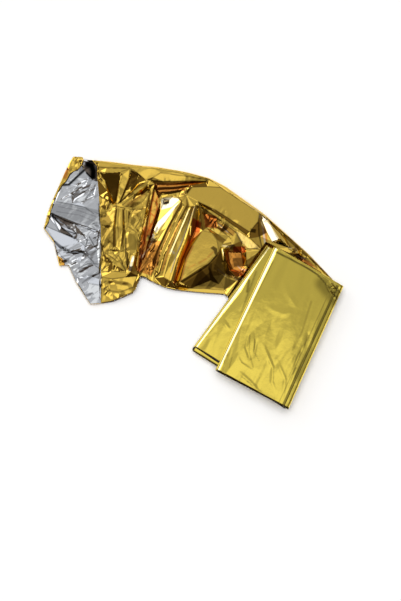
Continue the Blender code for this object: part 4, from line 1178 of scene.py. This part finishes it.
# Wrinkles of the upper panels, each a low roof or a low ditch.
LEFT_WRINKLES = [
    Mark("side_ridge", [(257, 270), (240, 312)], 3.0, 0.3),
    Mark("fleck", [(222, 322), (229, 332)], 2.5, 0.3),
    Mark("low", [(215, 335), (206, 352)], 3.0, 0.2),
]
TOP_WRINKLES = [
    Mark("low_1", [(229, 350), (227, 358), (222, 374)], 1.7, -0.22),
    Mark("low_2", [(248, 338), (245, 350), (249, 362)], 1.8, -0.22),
    Mark("low_3", [(254, 334), (255, 346), (253, 360)], 1.6, -0.2),
    Mark("low_4", [(262, 348), (271, 370), (270, 384), (274, 394)], 2.1, 0.28),
    Mark("low_5", [(238, 374), (249, 384), (260, 396)], 2.2, 0.28),
    Mark("low_6", [(236, 358), (240, 366), (252, 374)], 2.0, 0.2),
    Mark("low_7", [(275, 362), (283, 382), (280, 400)], 2.4, 0.22),
    Mark("middle_1", [(282, 286), (288, 300), (296, 312)], 4.4, 0.14),
    Mark("middle_2", [(268, 312), (282, 318), (292, 316)], 4.4, 0.17),
    Mark("middle_3", [(284, 330), (280, 344), (272, 356)], 5.0, 0.17),
    Mark("long_crease", [(310, 300), (301, 330), (292, 350)], 4.4, -0.19),
    Mark("long_crease_near", [(307, 336), (303, 350)], 2.0, -0.22),
    Mark("long_crease_end", [(300, 352), (291, 373)], 2.2, -0.22),
    Mark("right_ridge_1", [(322, 306), (307, 349)], 2.8, 0.17),
    Mark("right_ridge_2", [(312, 345), (294, 385)], 1.8, 0.2),
    Mark("right_ridge_3", [(303, 352), (284, 396)], 1.8, 0.2),
    Mark("corner_1", [(328, 286), (337, 297)], 1.8, 1.0),
    Mark("corner_2", [(334, 285), (342, 293)], 1.6, 0.9),
    Mark("corner_3", [(330, 294), (337, 303)], 1.6, 0.9),
    Mark("corner_4", [(325, 288), (331, 300)], 1.5, -0.7),
]


def line_ends(line):
    """The two ends of a Line, in metres."""
    return plan(line.top_x, line.top_y), plan(line.low_x, line.low_y)


def packet_column(top, low, level, normal, rows, ply):
    """One column of the packet: two plies, ply metres to either side of the line from top to low
    at this level, along normal, closed in a half turn at top."""
    angle, flat = rows
    width = np.linalg.norm(low - top)
    across = ply * (1 - np.cos(angle)) + (width - ply) * flat
    places = np.append(top, level) + np.append(low - top, 0) * (across / width)[:, None]
    return places + np.outer(np.sin(angle) * ply, normal)


def packet_rows(round_rows, flat_rows):
    """Rows from the upper ply's open edge round the folded edge to the lower ply's open edge."""
    turn = np.radians(np.linspace(90, -90, round_rows))
    flats = np.arange(1, flat_rows + 1) / flat_rows
    angle = np.concatenate([np.full(flat_rows, math.pi / 2), turn, np.full(flat_rows, -math.pi / 2)])
    flat = np.concatenate([flats[::-1], np.zeros(round_rows), flats])
    return angle, flat


def leaf(first, panel_steps, bend_steps, rows, ply):
    """Two panels and the bend before each of them, from panel number first on."""
    columns = []
    radius = PLY_PITCH * MM
    for number in (first, first + 1):
        start, end = PACKET_PANELS[number]
        before = PACKET_PANELS[number - 1][1] if number else STRIP_LINES[-1]
        upward = 1 if number % 2 == 0 else -1
        level = (PACKET_FLOOR + PLY_PITCH / 2 + 2 * PLY_PITCH * number) * MM
        top_0, low_0 = line_ends(before)
        top_1, low_1 = line_ends(start)
        far_top, far_low = line_ends(end)
        outward = (top_1 + low_1 - far_top - far_low) / 2
        edge = low_1 - top_1
        square = np.array([-edge[1], edge[0]]) / np.linalg.norm(edge)
        square *= math.copysign(1, square @ outward)
        for turn in np.radians(np.linspace(-90, 90, bend_steps + 2)[1:-1]):
            done = (1 + math.sin(turn)) / 2
            bulge = square * radius * math.cos(turn)
            normal = -upward * np.append(square * math.cos(turn), math.sin(turn))
            top = top_0 + (top_1 - top_0) * done + bulge
            low = low_0 + (low_1 - low_0) * done + bulge
            columns.append(packet_column(top, low, level + 2 * radius * done, normal, rows, ply))
        for share in np.linspace(0, 1, panel_steps[number - first] + 1):
            top, low = top_1 + (far_top - top_1) * share, low_1 + (far_low - low_1) * share
            normal = np.array([0, 0, -upward])
            columns.append(packet_column(top, low, level + 2 * radius, normal, rows, ply))
    return np.array(columns)


ROOF_HALF = 0.55  # where a wrinkle has run out, from its middle, as a share of its length


def roofs(points, wrinkles):
    """A rise like a low roof along each wrinkle, in millimetres. It is highest half-way along."""
    result = np.zeros(points.shape[:-1])
    for wrinkle in wrinkles:
        path = plan(*np.array(wrinkle.places, float).T)
        centre = (path[0] + path[-1]) / 2
        half = ROOF_HALF * np.linalg.norm(path[-1] - path[0])
        taper = np.clip(1 - (np.linalg.norm(points - centre, axis=-1) / half) ** 2, 0, 1)
        roof = np.clip(1 - beside(points, path) / (wrinkle.reach * MM), 0, 1)
        result += wrinkle.strength * taper * roof
    return result


LEAF_PLIES = 3  # from a leaf's lowest ply to its top one
LEAST_WRINKLED, MORE_WRINKLED = 0.35, 0.65  # its far end's wrinkles, and what its near end adds
WRINKLED_FROM, WRINKLED_OVER = 0.35, 0.3  # where along the fold they grow
LEAF_SIZES = ((15, 0.32), (7, 0.16))  # cell and rise of its soft creases
BOW = 1.1  # how far a leaf rises half-way along, in millimetres


def pressed(points, fold, base, widths, wrinkles, seed):
    """A leaf pressed down along its left fold, and wrinkled. The shoulder slopes down over some
    width at each share of the fold's length, towards base, the leaf's own lowest height."""
    shares, reaches = np.array(widths).T
    top, low = line_ends(fold)
    length = np.linalg.norm(low - top)
    points = points.copy()
    start, end = points[-1 - SHOULDER_STEPS[1]], points[-1]
    down = (start[:, :2] - top) @ (low - top) / length**2
    width = np.interp(down, shares, reaches * UNIT_ACROSS)
    shoulder = (width / np.linalg.norm((end - start)[:, :2], axis=1))[:, None]
    step = np.arange(SHOULDER_STEPS[1] + 1)[:, None, None]
    beyond = (step - SHOULDER_STEPS[0]) / (SHOULDER_STEPS[1] - SHOULDER_STEPS[0])
    on_shoulder = step / SHOULDER_STEPS[0] * shoulder
    share = np.where(beyond < 0, on_shoulder, shoulder + beyond * (1 - shoulder))
    points[-1 - SHOULDER_STEPS[1] :] = start + (end - start) * share
    along = (points[..., :2] - top) @ (low - top) / length
    inward = np.array([top[1] - low[1], low[0] - top[0]]) / length
    inside = (points[..., :2] - top) @ inward
    width = np.interp(along / length, shares, reaches * UNIT_ACROSS)
    drop = width * SHOULDER_SLOPE * np.clip(1 - np.maximum(inside, 0) / width, 0, 1)
    full = LEAF_PLIES * PLY_PITCH * MM
    points[..., 2] -= drop * np.clip((points[..., 2] - base) / full, 0, 1)
    height = points[..., 2] / MM
    near_share = eased((along / length - WRINKLED_FROM) / WRINKLED_OVER)
    wrinkled = LEAST_WRINKLED + MORE_WRINKLED * near_share
    soft = wrinkled * crumple(points[..., :2], heading=245, stretch=3.5, seed=seed, sizes=LEAF_SIZES)
    bow = BOW * np.sin(np.clip(along / length, 0, 1) * math.pi)
    points[..., 2] += (soft + bow + roofs(points[..., :2], wrinkles)) * MM
    # The leaf's dark share is the painted shade of PACKET_DARK.
    return points, marked(points[..., :2], height, PACKET_DARK)


class Leaf(NamedTuple):
    """A leaf of the packet: its first panel, the fold that it is pressed along, its own lowest
    height in millimetres, its shoulder, its wrinkles, and how much shorter its upper ply is."""

    name: str
    first: int
    fold: str
    base: float
    widths: list
    wrinkles: list
    trim: float


LEAVES = [
    Leaf("left_leaf", 0, "a_left", 3.5, LEFT_WIDTHS, LEFT_WRINKLES, 0.035),
    Leaf("top_leaf", 2, "c_left", 9.5, TOP_WIDTHS, TOP_WRINKLES, 0.0),
]
packet_film = metallised_film(
    "pressed_gold_film", colour="#FAE062", roughness=0.10, shade_and_wear_colour="#2C1F0C", painted_reflection_colour="#D4501C"
)
ROUND_ROWS, FLAT_ROWS = 9, 130
PANEL_STEPS = (10, SHOULDER_STEPS[1])  # columns on a leaf's lower panel, hidden, and its upper one
BEND_STEPS = 10  # and on each bend
TRIM_STEPS = 4  # the columns over which the upper ply gets shorter
RIGHT_FOLD_STEPS, RIGHT_LINE_STEP = 4, 9  # columns from the right-hand end
OPEN_EDGE_SHADOW = 0.9  # how dark the painted shadow along a leaf's cut edges is
RIGHT_FOLD_SHADE, RIGHT_LINE_SHADE = 0.7, 0.4  # and the painted shade along its right-hand fold, and a line beside that
BEND_SHADE, SHOULDER_GLARE = 0.25, 0.6  # and the painted shade along its left-hand bend, and how pale the painted highlight on that bend's shoulder is
LEAF_FLAT = (0.262, 0.17)  # two plies of the strip, and two panels of 80 mm with their bends
LEAF_SEED = 51  # plus the leaf's first panel
leaf_rows = packet_rows(ROUND_ROWS, FLAT_ROWS)
upper_panel = 2 * BEND_STEPS + PANEL_STEPS[0] + 1
for row in LEAVES:
    points = leaf(row.first, PANEL_STEPS, BEND_STEPS, leaf_rows, PLY_PITCH / 2 * MM)
    folded_edge = points[:, FLAT_ROWS : FLAT_ROWS + 1]
    past = np.clip((np.arange(len(points)) - upper_panel) / TRIM_STEPS, 0, 1)
    shorter = row.trim * past[:, None, None]
    points[:, :FLAT_ROWS] += (folded_edge - points[:, :FLAT_ROWS]) * shorter
    fold_line = next(line for pair in PACKET_PANELS for line in pair if line.name == row.fold)
    seed = LEAF_SEED + row.first
    points, dark = pressed(points, fold_line, row.base * MM, row.widths, row.wrinkles, seed)
    # Painted shadow along the open edges, painted shade on the right-hand fold, the line beside it and
    # the left-hand bend, and a painted highlight on the shoulder.
    pale = np.zeros(dark.shape)
    dark[:, :1] = OPEN_EDGE_SHADOW
    dark[:, -2:] = OPEN_EDGE_SHADOW
    dark[-RIGHT_FOLD_STEPS:] = RIGHT_FOLD_SHADE
    dark[-RIGHT_LINE_STEP] = RIGHT_LINE_SHADE
    dark[-SHOULDER_STEPS[1] - BEND_STEPS : -SHOULDER_STEPS[1] - 1] = BEND_SHADE
    pale[-1 - SHOULDER_STEPS[1] : -SHOULDER_STEPS[1] + SHOULDER_STEPS[0] - 2] = SHOULDER_GLARE
    faces = quads(np.arange(dark.size).reshape(dark.shape))
    marks = {"dark": dark, "pale": pale}
    film_sheet(row.name, points, faces, marks, LEAF_FLAT, (packet_film, silver_film))

# ------------------------------------------------------------------------------------------------
# Floor, light and camera: a pale floor inside a studio of soft boxes, seen from above.
# ------------------------------------------------------------------------------------------------

FLOOR_SIZE = 24  # wide enough to fill the picture from a low angle too, in metres
FILL_LIGHT = 2.3  # on the floor alone: film mirrors the studio, not this
FILL_ANGLE = math.radians(70)  # as wide as a sky of soft boxes, for soft shadows

bpy.ops.mesh.primitive_plane_add(size=FLOOR_SIZE)
floor = bpy.context.object
floor.name = "floor"
paper = bpy.data.materials.new("pale_paper")
paper.use_nodes = True
matt = paper.node_tree.nodes["Principled BSDF"].inputs
matt["Base Color"].default_value = linear("#F7F7F7")
matt["Roughness"].default_value = 0.9
matt["Specular IOR Level"].default_value = 0.1
floor.data.materials.append(paper)
fill = bpy.data.lights.new("overhead_fill", "SUN")
fill.energy = FILL_LIGHT
fill.angle = FILL_ANGLE
overhead = bpy.data.objects.new("overhead_fill", fill)
overhead.visible_glossy = False
bpy.context.scene.collection.objects.link(overhead)


class Patch(NamedTuple):
    """A soft-edged round patch of the studio: its compass bearing from +Y and its height, in
    degrees, its inner and outer radius in degrees, and its light. Where the inner radius is the
    larger one, the patch is everything outside the circle."""

    name: str
    bearing: float
    height: float
    inner: float
    outer: float
    light: tuple


STUDIO_LIGHT = 0.405  # of the studio's walls where no patch is
STUDIO_SLOPE = (-0.30, 0.22, 0)  # how much lighter they grow towards +X and +Y
LEAST_LIGHT = 0.08  # of the walls at their darkest
# The soft boxes, the walls and the dark places between them, each painted over those before it.
PATCHES = [
    Patch("surroundings", 0, 72, 44, 20, (0.14, 0.11, 0.085)),
    Patch("overhead_box", 10, 86, 3, 13, (0.90, 0.90, 0.88)),
    Patch("dark_ceiling", 180, 46, 24, 35, (0.062, 0.043, 0.033)),
    Patch("dark_middle", 180, 54, 8, 20, (0.036, 0.026, 0.016)),
    Patch("far_wall", 5, 35, 14, 20, (0.80, 0.81, 0.83)),
    Patch("south_west_glow", 245, 66, 4, 9, (1.3, 1.3, 1.25)),
    Patch("north_glow", 338, 24, 9, 10, (1.5, 1.5, 1.5)),
    Patch("north_west_glow", 302, 33, 12, 22, (1.1, 1.1, 1.05)),
    Patch("north_west_box", 311, 31, 12, 14, (1.9, 1.9, 1.9)),
    Patch("south_west_box", 250, 27, 9, 11, (1.9, 1.9, 1.9)),
    Patch("east_strip", 100, 14, 4, 7, (2.0, 2.0, 1.95)),
    Patch("south_strip", 200, 8, 5, 8, (2.0, 2.0, 2.0)),
]

world = bpy.data.worlds.new("studio")
bpy.context.scene.world = world
world.use_nodes = True
sky = world.node_tree
direction = add(sky, "ShaderNodeTexCoord").outputs["Generated"]
slope = add(sky, "ShaderNodeVectorMath", {0: direction, 1: STUDIO_SLOPE}, operation="DOT_PRODUCT")
level = add(sky, "ShaderNodeMath", {0: slope.outputs["Value"], 1: STUDIO_LIGHT}, operation="ADD")
walls = add(sky, "ShaderNodeMath", {0: level.outputs[0], 1: LEAST_LIGHT}, operation="MAXIMUM")
light = walls.outputs[0]
for patch in PATCHES:
    bearing, height = math.radians(patch.bearing), math.radians(patch.height)
    level_part = math.cos(height)
    towards = (math.sin(bearing) * level_part, math.cos(bearing) * level_part, math.sin(height))
    facing = add(sky, "ShaderNodeVectorMath", {0: direction, 1: towards}, operation="DOT_PRODUCT")
    inside = add(
        sky,
        "ShaderNodeMapRange",
        {
            "Value": facing.outputs["Value"],
            "From Min": math.cos(math.radians(patch.outer)),
            "From Max": math.cos(math.radians(patch.inner)),
        },
        interpolation_type="SMOOTHSTEP",
    )
    light = add(
        sky,
        "ShaderNodeMix",
        {0: inside.outputs["Result"], 6: light, 7: (*patch.light, 1)},
        data_type="RGBA",
    ).outputs[2]
sky.links.new(light, sky.nodes["Background"].inputs["Color"])

CAMERA_DISTANCE = 1.334
CAMERA_LENS = 85  # in millimetres
PICTURE_CENTRE = (200.5, 300.5)  # on the drawing
lens = bpy.data.cameras.new("camera")
lens.lens = CAMERA_LENS
camera = bpy.data.objects.new("camera", lens)
bpy.context.scene.collection.objects.link(camera)
target = Vector((*plan(*PICTURE_CENTRE), 0))
looking = Vector((0, math.cos(CAMERA_HEIGHT), -math.sin(CAMERA_HEIGHT)))
camera.location = target - looking * CAMERA_DISTANCE
camera.rotation_euler = looking.to_track_quat("-Z", "Y").to_euler()
bpy.context.scene.camera = camera
bpy.context.scene.view_settings.view_transform = "Standard"
